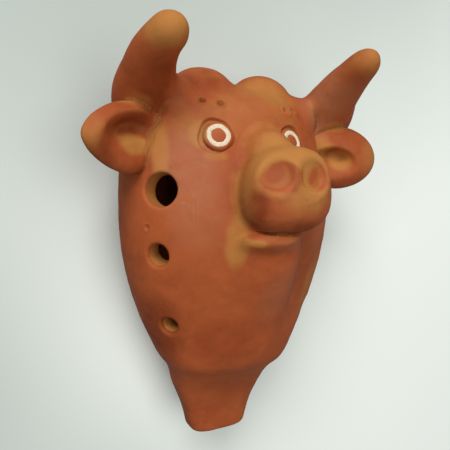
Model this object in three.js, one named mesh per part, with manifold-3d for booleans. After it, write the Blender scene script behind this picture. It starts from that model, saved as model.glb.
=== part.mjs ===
// A bull's-head ocarina of fired clay: a hollow head, blown through a beak under its chin.
// Millimetres. The whistle lies on its back, so +Z comes out of the face, +Y runs from the beak
// to the horns, and +X is the bull's own left. The origin ends up under the middle of the whistle.
import * as THREE from 'three';
import { mergeVertices, toCreasedNormals } from 'three/addons/utils/BufferGeometryUtils.js';
import Module from 'manifold-3d';

const wasm = await Module();
wasm.setup();

const { clamp, degToRad, lerp, smoothstep } = THREE.MathUtils;

// Driving dimensions
const slip = 0.3;   // slip joint that two pieces keep between them
const wall = 6.8;   // clay round the chamber

const beak = {
  length: 25,
  tipWidth: 21.2,
  tipThickness: 12.6,
  drop: 2.5,          // how far its middle lies behind the seam
  edgeRound: 2.2,
  squareness: 3.4,
};
const head = {
  length: 98.5,
  width: 77,
  depth: 52.8,
  faceShare: 0.53,    // of its depth, in front of the seam
  backSquareness: 2.35,
  crownRound: 10,
  sway: 0.6,          // of its cheeks, towards the bull's left
};
const faceHeight = head.depth * head.faceShare;
const backDepth = head.depth - faceHeight;
const restTrim = 1.2;   // sliced off the back, so that the whistle lies still
const jaw = { rise: 6.2, halfWidth: 10.5, aboveBeak: 4, slope: 38, belowEyes: 24 };
const tuft = { spacing: 22.8, width: 27, height: 24, thickness: 21, rise: 4.9, aside: 0.5 };
const shoulder = { spacing: 47, width: 18, height: 16, thickness: 18, belowCrown: 8, forward: 2 };

const windway = { width: 11, mouthHeight: 3, exitHeight: 2.2 };
const labium = { windowLength: 6.8, slope: 42 };

const fingerHoles = {
  diameters: [10.6, 7.5, 6.1],   // from the ears down
  // Each from the one above it, the first from the ear's middle
  below: { left: [14.4, 20.7, 19.6], right: [14.4, 20, 23.4] },
  // Degrees round from the seam
  upFlank: { left: [36, 37, 37], right: [36, 33, 33] },
  flare: 0.9,
};

const nose = {
  width: 31,
  height: 28,
  thickness: 20,
  proud: 9.9,          // how far it stands out from the face
  belowCrown: 34,
  aside: 1.9,          // it sits a little towards the bull's left
  roll: 4,             // degrees, which lift that side
  squareness: 2.5,
  flare: 0.14,         // how much narrower its back is
  spread: 0.09,        // how much wider it is at its bottom, and narrower at its top
};
const bridge = { width: 19, height: 20, thickness: 16, aboveNose: 6, setBack: 9.3 };
const nostril = {
  width: 10,
  height: 9,
  depth: 1.7,
  spacing: 13.4,
  aboveNose: 4.5,
  aside: -0.8,
  splay: 16,           // degrees, by which each turns to its own side
};
const lowerLip = { width: 21, height: 4.6, thickness: 7, belowNose: 15.2, proud: 1.6, squareness: 2.2 };

const eye = {
  spacing: 26.8,
  belowCrown: 18.8,
  aside: -1.3,         // the pair sits a little towards the bull's right
  socket: 11.2,
  socketDepth: 1.4,
  button: 9.2,
  proud: 0.5,
};
const eyeRing = { outer: 7.4, inner: 4.4, thickness: 0.7 };

const horn = {
  belowCrown: 10.5,
  upFlank: 10,                       // degrees round from the seam
  seat: 7.6,                         // how deep its root is let into the head
  rootWidth: 24,
  rootThickness: 19,
  tipRadius: 4.6,
  rise: 19.5,                        // from its root to its tip, towards +Y
  reach: 29,                         // from its root to its tip, out of the face
  sweep: { left: 1.2, right: 2 },    // outwards, at its middle
  lean: { left: 0.7, right: 1.5 },   // of its tip, towards the other horn
  girth: { left: 1.14, right: 1.05 },
};
const ear = {
  belowCrown: 20.9,
  sag: { left: 1.4, right: -0.3 },
  upFlank: 27,
  seat: 6.3,
  width: 29.6,
  height: { left: 23.2, right: 21.2 },
  thickness: 14,
  squareness: { left: 1.95, right: 1.65 },
  rim: { left: 4.4, right: 3.2 },
  cupDepth: 6.5,
  turn: 22,
};

// Fineness of the surfaces
const facets = {
  around: 44,
  alongBeak: 8,
  alongHead: 24,
  chamberAround: 30,
  chamberAlong: 16,
  hole: 18,
  eye: 24,
  nose: 30,
  pebble: 22,
  dimple: 18,
  hornAround: 18,
  hornAlong: 14,
};

// Heights along Y that several pieces share
const crownY = beak.length + head.length;
const eyeY = crownY - eye.belowCrown;
const earY = crownY - ear.belowCrown;
const hornY = crownY - horn.belowCrown;
const noseY = crownY - nose.belowCrown;

const rightAngle = Math.PI / 2;
const sides = [['left', 1], ['right', -1]];
const hand = (side) => (side > 0 ? 'left' : 'right');

// The head's outline: shares of its length, half width, face height and back depth
const headOutline = [
  [0.00, 0.50, 0.50, 0.53],
  [0.05, 0.58, 0.69, 0.64],
  [0.11, 0.67, 0.76, 0.76],
  [0.20, 0.78, 0.78, 0.88],
  [0.33, 0.90, 0.88, 0.97],
  [0.46, 0.97, 0.98, 1.00],
  [0.60, 1.00, 0.99, 1.00],
  [0.73, 0.97, 0.88, 0.99],
  [0.84, 0.88, 0.75, 0.94],
  [0.92, 0.76, 0.64, 0.84],
  [1.00, 0.60, 0.50, 0.68],
];

// Half width, rise in front and depth behind, from the beak's tip to the crown
const stations = [
  [0, beak.tipWidth / 2, beak.tipThickness / 2, beak.tipThickness / 2],
  [0.4 * beak.length, 0.63 * beak.tipWidth, 0.54 * beak.tipThickness, 0.55 * beak.tipThickness],
  [0.72 * beak.length, 0.79 * beak.tipWidth, 0.72 * beak.tipThickness, 0.73 * beak.tipThickness],
  ...headOutline.map(([along, wide, face, back]) => [
    beak.length + along * head.length,
    wide * head.width / 2,
    face * faceHeight,
    back * backDepth,
  ]),
];
const outline = new THREE.CubicInterpolant(
  stations.map(([y]) => y),
  stations.flatMap(([, ...sizes]) => sizes),
  3,
  new Float32Array(3),
);

// A quarter circle's rise, from 0 at its start to 1 where it levels out
function quarterRound(share) {
  return Math.sqrt(1 - (1 - clamp(share, 0, 1)) ** 2);
}

// The jaw stands out along the middle of the face, from the chin to under the nose
function jawRise(y) {
  const chin = beak.length + jaw.aboveBeak;
  const chinShare = smoothstep(y, chin, chin + jaw.slope);
  return jaw.rise * chinShare * (1 - smoothstep(y, eyeY - jaw.belowEyes, eyeY));
}

// The cheeks lie a little towards the bull's left, as the head was held while it was joined
function swayAt(y) {
  const above = 1 - smoothstep(y, eyeY - 1.2 * jaw.belowEyes, eyeY);
  return head.sway * smoothstep(y, 0.6 * beak.length, 2 * beak.length) * above;
}

// The skin's section at one height, grown where it seats another piece
function section(y, growth = 0) {
  const [halfWidth, face, back] = outline.evaluate(clamp(y, 0, crownY));
  const crown = quarterRound((crownY + growth - y) / head.crownRound);
  const inset = beak.edgeRound * (1 - quarterRound((y + growth) / beak.edgeRound)) - growth;
  const beakShare = 1 - smoothstep(y, 0.5 * beak.length, 1.5 * beak.length);
  return {
    halfWidth: (halfWidth - inset) * crown,
    face: (face - inset) * crown,
    back: (back - inset) * crown,
    middle: -beak.drop * beakShare,
    faceSquareness: lerp(2, beak.squareness, beakShare),
    backSquareness: lerp(head.backSquareness, beak.squareness, beakShare),
    jaw: jawRise(y) * crown,
    sway: swayAt(y),
  };
}

// A point of a section: 0 degrees is the seam on the left, and 90 the middle of the face
function sectionPoint(shape, y, angle) {
  const cos = Math.cos(angle);
  const sin = Math.sin(angle);
  const inFront = sin > 0;
  const power = 2 / (inFront ? shape.faceSquareness : shape.backSquareness);
  const x = shape.halfWidth * Math.sign(cos) * Math.abs(cos) ** power;
  const height = (inFront ? shape.face : shape.back) * Math.sign(sin) * Math.abs(sin) ** power;
  const ridge = inFront ? shape.jaw * Math.exp(-((x / jaw.halfWidth) ** 4)) * Math.min(1, 3 * sin) : 0;
  return new THREE.Vector3(x + shape.sway, y, shape.middle + height + ridge);
}

function skinPoint(y, angle) {
  return sectionPoint(section(y), y, angle);
}

function skinNormal(y, angle) {
  const step = 0.5;
  const turn = 0.02;
  const alongSkin = skinPoint(y + step, angle).sub(skinPoint(y - step, angle));
  const aroundSkin = skinPoint(y, angle + turn).sub(skinPoint(y, angle - turn));
  return alongSkin.cross(aroundSkin).normalize();
}

// The angle on the flank of one side, up from the seam
function flankAngle(degrees, side) {
  return side > 0 ? degToRad(degrees) : Math.PI - degToRad(degrees);
}

// A closed surface through rings of points, capped at both ends
function loft(rings) {
  const count = rings[0].length;
  const points = rings.flat();
  const centreOf = (loop) => (
    loop.reduce((sum, point) => sum.add(point), new THREE.Vector3()).divideScalar(count)
  );
  const firstCentre = points.push(centreOf(rings[0])) - 1;
  const lastCentre = points.push(centreOf(rings.at(-1))) - 1;
  const lastRow = (rings.length - 1) * count;
  const faces = [];
  for (let side = 0; side < count; side += 1) {
    const next = (side + 1) % count;
    for (let row = 0; row < lastRow; row += count) {
      faces.push(row + side, row + count + side, row + next);
      faces.push(row + count + side, row + count + next, row + next);
    }
    faces.push(firstCentre, side, next);
    faces.push(lastCentre, lastRow + next, lastRow + side);
  }
  return new THREE.BufferGeometry().setFromPoints(points).setIndex(faces);
}

function solid(geometry) {
  const bare = geometry.clone();
  bare.deleteAttribute('normal');
  bare.deleteAttribute('uv');
  const welded = mergeVertices(bare, 1e-4);
  return new wasm.Manifold(new wasm.Mesh({
    numProp: 3,
    vertProperties: Float32Array.from(welded.attributes.position.array),
    triVerts: Uint32Array.from(welded.index.array),
  }));
}

function join(...bodies) {
  return bodies.reduce((whole, body) => whole.add(body));
}

function cut(body, ...tools) {
  return tools.reduce((left, tool) => left.subtract(tool), body);
}

function block(low, high) {
  const size = high.clone().sub(low);
  const middle = low.clone().add(high).divideScalar(2);
  return solid(new THREE.BoxGeometry(size.x, size.y, size.z).translate(...middle));
}

// A pebble of clay: a ball with its own width, height and thickness. It may be squared or
// pinched, flared so that its back is narrower than its front, and spread at its bottom.
function pebble(shape, segments, growth = 0) {
  const { width, height, thickness, squareness = 2, flare = 0, spread = 0 } = shape;
  const geometry = new THREE.SphereGeometry(1, segments, Math.round(0.6 * segments));
  const radii = new THREE.Vector3(width, height, thickness).divideScalar(2).addScalar(growth);
  const positions = geometry.attributes.position;
  const point = new THREE.Vector3();
  for (let index = 0; index < positions.count; index += 1) {
    point.fromBufferAttribute(positions, index);
    const reach = point.toArray().reduce((sum, value) => sum + Math.abs(value) ** squareness, 0);
    point.multiplyScalar(reach ** (-1 / squareness));
    const taper = 1 - flare * (1 - point.z) / 2;
    const widen = taper * (1 - spread * point.y);
    point.multiply(radii).multiply(new THREE.Vector3(widen, taper, 1));
    positions.setXYZ(index, ...point);
  }
  return geometry;
}

// A turned shape whose profile gives distances from its axis and heights along +Z
function turned(profile, segments) {
  const points = profile.map(([radius, height]) => new THREE.Vector2(radius, height));
  return new THREE.LatheGeometry(points, segments).rotateX(rightAngle);
}

// Stands a shape on the skin, with its own +Z along the skin's normal
function standOnSkin(geometry, y, angle) {
  const normal = skinNormal(y, angle);
  const turn = new THREE.Quaternion().setFromUnitVectors(new THREE.Vector3(0, 0, 1), normal);
  return geometry.applyQuaternion(turn).translate(...skinPoint(y, angle));
}

// Heights of the skin's rings, closer together where the ends turn round
function ringHeights(growth) {
  const heights = [];
  for (let row = 0; row < facets.alongBeak; row += 1) {
    heights.push(lerp(-growth, beak.length, (row / facets.alongBeak) ** 1.5));
  }
  for (let row = 0; row < facets.alongHead; row += 1) {
    const share = row / facets.alongHead;
    heights.push(lerp(beak.length, crownY + growth, lerp(share, Math.sin(share * rightAngle), 0.75)));
  }
  heights.push(crownY + growth - 0.002 * head.crownRound);
  return heights;
}

function headSkin(growth = 0) {
  const rings = ringHeights(growth).map((y) => {
    const shape = section(y, growth);
    return Array.from({ length: facets.around }, (_, step) => (
      sectionPoint(shape, y, (step / facets.around) * 4 * rightAngle)
    ));
  });
  const tuftY = crownY + tuft.rise - tuft.height / 2;
  const tufts = sides.map(([, side]) => (
    solid(pebble(tuft, facets.pebble, growth).translate(tuft.aside + side * tuft.spacing / 2, tuftY, 0))
  ));
  const shoulderY = crownY - shoulder.belowCrown;
  const shoulders = sides.map(([, side]) => (
    solid(pebble(shoulder, facets.dimple, growth)
      .translate(side * shoulder.spacing / 2, shoulderY, shoulder.forward))
  ));
  return join(solid(loft(rings)), ...tufts, ...shoulders);
}

// The hollow inside, which the beak closes at the chin
function chamber() {
  const start = beak.length - slip;
  const end = crownY - wall;
  const rings = Array.from({ length: facets.chamberAlong + 1 }, (_, row) => {
    const y = lerp(start, end, Math.sin((row / facets.chamberAlong) * rightAngle));
    const outer = section(y);
    const dome = quarterRound(Math.max((end - y) / (2 * head.crownRound), 0.0005));
    const inner = {
      ...outer,
      halfWidth: (outer.halfWidth - wall) * dome,
      face: (outer.face - wall) * dome,
      back: (outer.back - wall) * dome,
      jaw: 0,
    };
    return Array.from({ length: facets.chamberAround }, (__, step) => (
      sectionPoint(inner, y, (step / facets.chamberAround) * 4 * rightAngle)
    ));
  });
  return solid(loft(rings));
}

// The breath leaves the beak across the window and splits on the labium's edge, which lies
// where the ramp outside meets the chamber's wall
const windowEnd = beak.length + labium.windowLength;
const edgeZ = skinPoint(windowEnd, -rightAngle).z + wall;

function windwaySlot() {
  const fall = (edgeZ + beak.drop) / beak.length;
  const overrun = beak.edgeRound;
  const rectangle = (y, height) => [[1, -1], [1, 1], [-1, 1], [-1, -1]].map(([across, up]) => (
    new THREE.Vector3(across * windway.width / 2, y, fall * y - beak.drop + up * height / 2)
  ));
  return solid(loft([
    rectangle(-overrun, windway.mouthHeight),
    rectangle(beak.length + overrun, windway.exitHeight),
  ]));
}

function soundWindow() {
  const half = windway.width / 2;
  const run = 2 * backDepth;
  const opening = block(
    new THREE.Vector3(-half, beak.length, edgeZ - run),
    new THREE.Vector3(half, windowEnd, edgeZ + wall),
  );
  const ramp = new THREE.Shape([
    new THREE.Vector2(edgeZ, windowEnd - slip),
    new THREE.Vector2(edgeZ, windowEnd),
    new THREE.Vector2(edgeZ - run * Math.tan(degToRad(labium.slope)), windowEnd + run),
    new THREE.Vector2(edgeZ - run, windowEnd - slip),
  ]);
  const wedge = new THREE.ExtrudeGeometry(ramp, { depth: windway.width, bevelEnabled: false });
  return join(opening, solid(wedge.translate(0, 0, -half).rotateY(rightAngle).scale(-1, 1, -1)));
}

function fingerHole(row, side) {
  const drops = fingerHoles.below[hand(side)].slice(0, row + 1);
  const y = earY - drops.reduce((sum, drop) => sum + drop);
  const radius = fingerHoles.diameters[row] / 2;
  const profile = [
    [0, -2 * wall],
    [radius, -2 * wall],
    [radius, -fingerHoles.flare],
    [radius + fingerHoles.flare, fingerHoles.flare],
    [radius + fingerHoles.flare, wall],
    [0, wall],
  ];
  const angle = flankAngle(fingerHoles.upFlank[hand(side)][row], side);
  return solid(standOnSkin(turned(profile, facets.hole), y, angle));
}

// Stands a turned profile on the face where an eye is
function atEye(profile, side) {
  const angle = Math.acos((eye.aside + side * eye.spacing / 2) / section(eyeY).halfWidth);
  return solid(standOnSkin(turned(profile, facets.eye), eyeY, angle));
}

function eyeSocket(side) {
  const radius = eye.socket / 2;
  return atEye([[0, -eye.socketDepth], [radius, -eye.socketDepth], [radius, wall], [0, wall]], side);
}

// A button of clay pressed into the socket, with a groove for the ring of cream slip
function eyeButton(side) {
  const radius = eye.button / 2;
  const foot = slip - eye.socketDepth;
  const edge = 0.6;
  const grooveFloor = eye.proud - eyeRing.thickness - slip;
  return atEye([
    [0, foot],
    [radius, foot],
    [radius, eye.proud - edge],
    [radius - edge, eye.proud],
    [eyeRing.outer / 2 + slip, eye.proud],
    [eyeRing.outer / 2 + slip, grooveFloor],
    [eyeRing.inner / 2 - slip, grooveFloor],
    [eyeRing.inner / 2 - slip, eye.proud],
    [0, eye.proud],
  ], side);
}

function creamRing(side) {
  const [inner, outer] = [eyeRing.inner / 2, eyeRing.outer / 2];
  const [floor, face] = [eye.proud - eyeRing.thickness, eye.proud];
  return atEye([[inner, floor], [outer, floor], [outer, face], [inner, face], [inner, floor]], side);
}

// A horn: a tapering oval roll of clay that rises beside the tufts and reaches forward
function hornRoll(side, growth = 0) {
  const lean = horn.lean[hand(side)];
  const girth = horn.girth[hand(side)];
  const sweep = horn.sweep[hand(side)];
  const foot = skinPoint(hornY, flankAngle(horn.upFlank, 1));
  const root = foot.setX(foot.x + horn.rootWidth / 2 - horn.seat);
  const onward = (out, up, forward) => root.clone().add(new THREE.Vector3(out, up, forward));
  const spine = new THREE.CatmullRomCurve3([
    onward(-horn.seat, -0.35 * horn.rootWidth, -0.35 * horn.rootThickness),
    onward(0, 0, 0),
    onward(sweep - 0.4 * lean, 0.44 * horn.rise, 0.33 * horn.reach),
    onward(sweep - 0.8 * lean, 0.73 * horn.rise, 0.64 * horn.reach),
    onward(-lean, horn.rise, horn.reach),
  ]);
  const tipShare = 0.12;
  const footShare = 0.3;
  const rings = Array.from({ length: facets.hornAlong + 1 }, (_, row) => {
    const along = row / facets.hornAlong;
    const share = 0.5 * (along + Math.sin(along * rightAngle));
    const centre = spine.getPoint(share);
    const forward = spine.getTangent(share);
    const across = new THREE.Vector3(1, 0, 0).projectOnPlane(forward).normalize();
    const up = forward.clone().cross(across);
    const taper = share ** 0.72;
    const ends = quarterRound((1 - share) / tipShare + 0.002) * quarterRound(0.15 + share / footShare);
    const wide = girth * lerp(horn.rootWidth / 2, horn.tipRadius, taper) * ends + growth;
    const thick = girth * lerp(horn.rootThickness / 2, horn.tipRadius, taper) * ends + growth;
    return Array.from({ length: facets.hornAround }, (__, step) => {
      const angle = (step / facets.hornAround) * 4 * rightAngle;
      return centre.clone()
        .addScaledVector(across, wide * Math.cos(angle))
        .addScaledVector(up, -thick * Math.sin(angle));
    });
  });
  return onSide(loft(rings), side);
}

// Mirrors a shape made for the left side where it is wanted on the right
function onSide(geometry, side) {
  const body = solid(geometry);
  return side > 0 ? body : body.mirror([1, 0, 0]);
}

// An ear: a leaf of clay cupped forward, set on the side of the head under the horn
function atEar(geometry, side) {
  const foot = skinPoint(earY, flankAngle(ear.upFlank, 1));
  geometry.rotateY(degToRad(-ear.turn));
  geometry.translate(foot.x + ear.width / 2 - ear.seat, foot.y - ear.sag[hand(side)], foot.z);
  return onSide(geometry, side);
}

function earLeaf(side) {
  const [height, squareness] = [ear.height[hand(side)], ear.squareness[hand(side)]];
  return atEar(pebble({ ...ear, height, squareness }, facets.pebble), side);
}

function earCup(side) {
  const rim = ear.rim[hand(side)];
  const cup = {
    width: ear.width - 2 * rim,
    height: ear.height[hand(side)] - 2 * rim,
    thickness: 2 * ear.cupDepth,
  };
  return atEar(pebble(cup, facets.dimple).translate(-0.3 * rim, 0, ear.thickness / 2), side);
}

// The nose, with the upper lip under it and the bridge above it, is one pad of clay on the face
const noseFront = skinPoint(noseY, rightAngle).z + nose.proud;

function muzzlePad(growth = 0) {
  const snout = pebble(nose, facets.nose, growth).rotateZ(degToRad(nose.roll));
  snout.translate(nose.aside, noseY, noseFront - nose.thickness / 2);
  const slope = pebble(bridge, facets.pebble, growth);
  slope.translate(nose.aside, noseY + bridge.aboveNose, noseFront - bridge.setBack - bridge.thickness / 2);
  return join(solid(snout), solid(slope));
}

function nostrilDimple(side) {
  const dimple = pebble({ ...nostril, thickness: 2 * nostril.depth }, facets.dimple);
  dimple.rotateY(side * degToRad(nostril.splay));
  const x = nostril.aside + side * nostril.spacing / 2;
  return solid(dimple.translate(x, noseY + nostril.aboveNose, noseFront - nostril.depth / 3));
}

function lowerLipRoll() {
  const y = noseY - lowerLip.belowNose;
  const front = skinPoint(y, rightAngle).z + lowerLip.proud;
  return solid(pebble(lowerLip, facets.pebble).translate(0, y, front - lowerLip.thickness / 2));
}

// Materials
const redClay = { color: 0xa6522f, roughness: 0.75, metalness: 0 };
const ochreClay = { color: 0xb4703c, roughness: 0.8, metalness: 0 };
const creamSlip = { color: 0xe6d6c4, roughness: 0.85, metalness: 0 };

const group = new THREE.Group();

function place(name, body, finish) {
  const { vertProperties, triVerts } = body.getMesh();
  const geometry = new THREE.BufferGeometry();
  geometry.setAttribute('position', new THREE.BufferAttribute(vertProperties, 3));
  geometry.setIndex(new THREE.BufferAttribute(triVerts, 1));
  const creased = toCreasedNormals(geometry, degToRad(35));
  const mesh = new THREE.Mesh(creased, new THREE.MeshStandardMaterial(finish));
  mesh.name = name;
  group.add(mesh);
}

// The part of space between two heights along one axis
function slab(axis, low, high) {
  const far = 2 * crownY;
  const least = new THREE.Vector3(-far, -far, -far);
  const most = new THREE.Vector3(far, far, far);
  least[axis] = Math.max(low, -far);
  most[axis] = Math.min(high, far);
  return block(least, most);
}

const skin = headSkin();
const seat = headSkin(slip);
const hollowHead = cut(skin.intersect(slab('y', beak.length + slip, Infinity)), chamber());
const faceHalf = hollowHead.intersect(slab('z', slip / 2, Infinity));
const backHalf = hollowHead.intersect(slab('z', restTrim - backDepth, -slip / 2));
const holes = sides.flatMap(([, side]) => fingerHoles.diameters.map((_, row) => fingerHole(row, side)));

place('face_shell', cut(faceHalf, ...holes, ...sides.map(([, side]) => eyeSocket(side))), redClay);
place('back_shell', cut(backHalf, soundWindow()), redClay);
place('mouthpiece', cut(skin.intersect(slab('y', -Infinity, beak.length)), windwaySlot()), redClay);
place('muzzle', cut(muzzlePad(), seat, ...sides.map(([, side]) => nostrilDimple(side))), ochreClay);
place('lower_lip', cut(lowerLipRoll(), seat, muzzlePad(slip)), redClay);

for (const [name, side] of sides) {
  place(`${name}_horn`, cut(hornRoll(side), seat), redClay);
  place(`${name}_ear`, cut(earLeaf(side), seat, hornRoll(side, slip), earCup(side)), redClay);
  place(`${name}_eye`, eyeButton(side), redClay);
  place(`${name}_eye_ring`, creamRing(side), creamSlip);
}

const box = new THREE.Box3().setFromObject(group);
const middle = box.getCenter(new THREE.Vector3());
group.position.set(-middle.x, -middle.y, -box.min.z);
group.updateMatrixWorld(true);

export default group;
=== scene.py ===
"""A bull's-head ocarina of red fired clay, lying on its back on a pale table.

Every form is modelled in millimetres in the whistle's own frame: x towards the bull's left, y from
the beak's tip to the horns, and z from the seam out of the face. Bench sets it into the row frame.
"""

import logging
import math
from dataclasses import dataclass, field
from enum import Enum
from typing import Callable, Sequence

import bmesh
import bpy
import numpy as np
from mathutils import Matrix, Vector, kdtree
from mathutils.bvhtree import BVHTree

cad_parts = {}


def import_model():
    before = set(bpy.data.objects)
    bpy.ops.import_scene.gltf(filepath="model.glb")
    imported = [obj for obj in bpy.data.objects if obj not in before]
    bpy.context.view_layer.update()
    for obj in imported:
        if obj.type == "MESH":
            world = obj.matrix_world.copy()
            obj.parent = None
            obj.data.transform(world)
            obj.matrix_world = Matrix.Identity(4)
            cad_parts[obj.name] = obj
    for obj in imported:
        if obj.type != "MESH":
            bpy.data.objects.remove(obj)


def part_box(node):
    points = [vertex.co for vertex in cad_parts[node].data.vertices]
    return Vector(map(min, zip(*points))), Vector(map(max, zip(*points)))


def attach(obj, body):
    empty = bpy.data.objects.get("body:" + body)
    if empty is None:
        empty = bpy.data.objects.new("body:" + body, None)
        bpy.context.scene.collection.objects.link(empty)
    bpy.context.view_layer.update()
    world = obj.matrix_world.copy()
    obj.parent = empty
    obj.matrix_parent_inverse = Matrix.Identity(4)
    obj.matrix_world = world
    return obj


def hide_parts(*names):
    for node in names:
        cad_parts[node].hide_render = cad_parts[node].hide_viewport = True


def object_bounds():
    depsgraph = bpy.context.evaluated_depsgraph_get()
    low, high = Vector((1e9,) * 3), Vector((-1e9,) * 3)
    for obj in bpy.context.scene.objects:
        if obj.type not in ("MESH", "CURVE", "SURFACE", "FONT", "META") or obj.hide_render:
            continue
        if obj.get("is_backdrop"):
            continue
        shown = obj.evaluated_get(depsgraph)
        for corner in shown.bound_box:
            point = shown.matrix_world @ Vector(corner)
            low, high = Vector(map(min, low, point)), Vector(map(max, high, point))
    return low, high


log = logging.getLogger("ocarina")

Points = np.ndarray
Form = bmesh.types.BMesh
Piece = bpy.types.Object
Socket = bpy.types.NodeSocket
Triple = tuple[float, float, float]


class Side(Enum):
    """A side of the head, the bull's own."""

    LEFT = 1
    RIGHT = -1

    @property
    def word(self) -> str:
        """The side's name in a piece's name."""
        return self.name.lower()


class Joining(Enum):
    """What becomes of a body when another is set into it."""

    ADD = "UNION"
    CUT = "DIFFERENCE"
    KEEP = "INTERSECT"


def smooth_step(values: Points, low: float, high: float) -> Points:
    """Rises smoothly from 0 at low to 1 at high."""
    share = np.clip((values - low) / (high - low), 0.0, 1.0)
    return share * share * (3.0 - 2.0 * share)


def quarter_round(share: Points) -> Points:
    """A quarter circle's rise, from 0 at its start to 1 where it levels out."""
    return np.sqrt(1.0 - (1.0 - np.clip(share, 0.0, 1.0)) ** 2)


def hump(values: Points, middle: float, width: float) -> Points:
    """A soft hump, 1 high where a value is at its middle."""
    return np.exp(-(((values - middle) / width) ** 2))


def mix(first: Points, second: Points, share: Points) -> Points:
    """Goes from the first value to the second as share goes from 0 to 1."""
    return first + (second - first) * share


def through(knots: Points, values: Points, places: Points) -> Points:
    """A smooth curve through values at knots.

    Args:
        knots: rising parameters, one per row of values.
        values: a row of numbers for each knot.
        places: the parameters wanted.

    Returns:
        A row of numbers for each place.
    """
    slopes = np.diff(values, axis=0) / np.diff(knots)[:, None]
    tangents = np.vstack([slopes[:1], (slopes[1:] + slopes[:-1]) / 2, slopes[-1:]])
    at = np.clip(np.searchsorted(knots, places, side="right") - 1, 0, len(knots) - 2)
    span = (knots[at + 1] - knots[at])[:, None]
    t = ((places - knots[at])[:, None]) / span
    return (
        (2 * t**3 - 3 * t**2 + 1) * values[at]
        + (t**3 - 2 * t**2 + t) * span * tangents[at]
        + (3 * t**2 - 2 * t**3) * values[at + 1]
        + (t**3 - t**2) * span * tangents[at + 1]
    )


def unit(vectors: Points) -> Points:
    """The same directions, one long."""
    return vectors / np.maximum(np.linalg.norm(vectors, axis=-1, keepdims=True), 1e-12)


def squared(points: Points, power: float) -> Points:
    """A ball's points moved out towards its box, the further the higher the power."""
    reach = (np.abs(points) ** power).sum(axis=1, keepdims=True)
    return points * reach ** (-1 / power)


def ball(around: int, rows: int) -> Form:
    """A ball of clay of radius 1, from which a rounded form is pressed.

    Args:
        around: how many points each ring has.
        rows: how many bands of faces lie between the poles.

    Returns:
        The ball, with its poles on z.
    """
    form = bmesh.new()
    bmesh.ops.create_uvsphere(form, u_segments=around, v_segments=rows, radius=1.0)
    return form


def down_and_round(points: Points) -> tuple[Points, Points]:
    """How far down from a ball's upper pole its points lie, from 0 to 1, and their angle."""
    along = np.arccos(np.clip(points[:, 2], -1, 1)) / math.pi
    return along, np.arctan2(points[:, 1], points[:, 0])


def press(form: Form, shaping: Callable[[Points], Points]) -> Form:
    """Moves every point of a form at once.

    Args:
        form: the form to shape.
        shaping: takes the points' places and gives their new ones.

    Returns:
        The same form, with its faces pointing out.
    """
    places = shaping(np.array([vert.co for vert in form.verts], float))
    for vert, place in zip(form.verts, places):
        vert.co = place
    form.normal_update()
    bmesh.ops.recalc_face_normals(form, faces=form.faces)
    return form


def rows_of(elements: object, name: str) -> Points:
    """A vector that each of a mesh's elements has, in rows.

    Args:
        elements: the mesh's points, corners or faces.
        name: the vector's name.

    Returns:
        A row of three numbers for each element.
    """
    flat = np.empty(len(elements) * 3, np.float32)
    elements.foreach_get(name, flat)
    return flat.reshape(-1, 3)


def whole_numbers_of(elements: object, name: str, each: int = 1) -> Points:
    """Whole numbers that each of a mesh's elements has, one after the other.

    Args:
        elements: the mesh's edges, corners or faces.
        name: the numbers' name.
        each: how many an element has.

    Returns:
        The numbers.
    """
    numbers = np.empty(len(elements) * each, np.int32)
    elements.foreach_get(name, numbers)
    return numbers


def places_of(mesh: bpy.types.Mesh) -> Points:
    """The places of a mesh's points."""
    return rows_of(mesh.vertices, "co").astype(float)


def normals_of(mesh: bpy.types.Mesh) -> Points:
    """The normals of a mesh's points."""
    return rows_of(mesh.vertex_normals, "vector").astype(float)


def move_to(mesh: bpy.types.Mesh, places: Points) -> None:
    """Moves a mesh's points to new places."""
    mesh.vertices.foreach_set("co", places.astype(np.float32).ravel())
    mesh.update()


def write_marks(mesh: bpy.types.Mesh, marks: dict[str, Points]) -> None:
    """Keeps each mark on a mesh's points, where the materials read it.

    Args:
        mesh: the piece's mesh.
        marks: a number for each point, by the mark's name.
    """
    for mark, values in marks.items():
        layer = mesh.attributes.new(mark, "FLOAT", "POINT")
        layer.data.foreach_set("value", values.astype(np.float32))


def lay_out(name: str, data: object) -> Piece:
    """Puts a new object into the scene.

    Args:
        name: its name.
        data: its mesh, camera or lamp.

    Returns:
        The object.
    """
    piece = bpy.data.objects.new(name, data)
    bpy.context.scene.collection.objects.link(piece)
    return piece


def piece_from(name: str, *forms: Form) -> Piece:
    """One object that holds the given forms, side by side.

    Args:
        name: its name.
        forms: what it holds. They are left as they are.

    Returns:
        The object.
    """
    whole = bmesh.new()
    for form in forms:
        part = bpy.data.meshes.new(name)
        form.to_mesh(part)
        whole.from_mesh(part)
        bpy.data.meshes.remove(part)
    mesh = bpy.data.meshes.new(name)
    whole.to_mesh(mesh)
    whole.free()
    return lay_out(name, mesh)


def form_from(piece: Piece) -> Form:
    """A piece's mesh as a form, for which the piece is used up.

    Args:
        piece: the piece.

    Returns:
        The form.
    """
    form = bmesh.new()
    form.from_mesh(piece.data)
    discard(piece)
    return form


def settle(piece: Piece) -> Piece:
    """Makes a piece's modifiers part of its mesh.

    Args:
        piece: the piece.

    Returns:
        The same piece.
    """
    graph = bpy.context.evaluated_depsgraph_get()
    mesh = bpy.data.meshes.new_from_object(piece.evaluated_get(graph))
    old = piece.data
    piece.modifiers.clear()
    piece.data = mesh
    bpy.data.meshes.remove(old)
    return piece


def set_in(piece: Piece, tool: Piece, joining: Joining) -> Piece:
    """Adds, cuts away or keeps what another body holds of a piece.

    Args:
        piece: the piece that changes.
        tool: the other body, which stays.
        joining: what becomes of what both hold.

    Returns:
        The same piece.
    """
    modifier = piece.modifiers.new(joining.name, "BOOLEAN")
    modifier.operation = joining.value
    modifier.solver = "MANIFOLD"
    modifier.object = tool
    return settle(piece)


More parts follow.
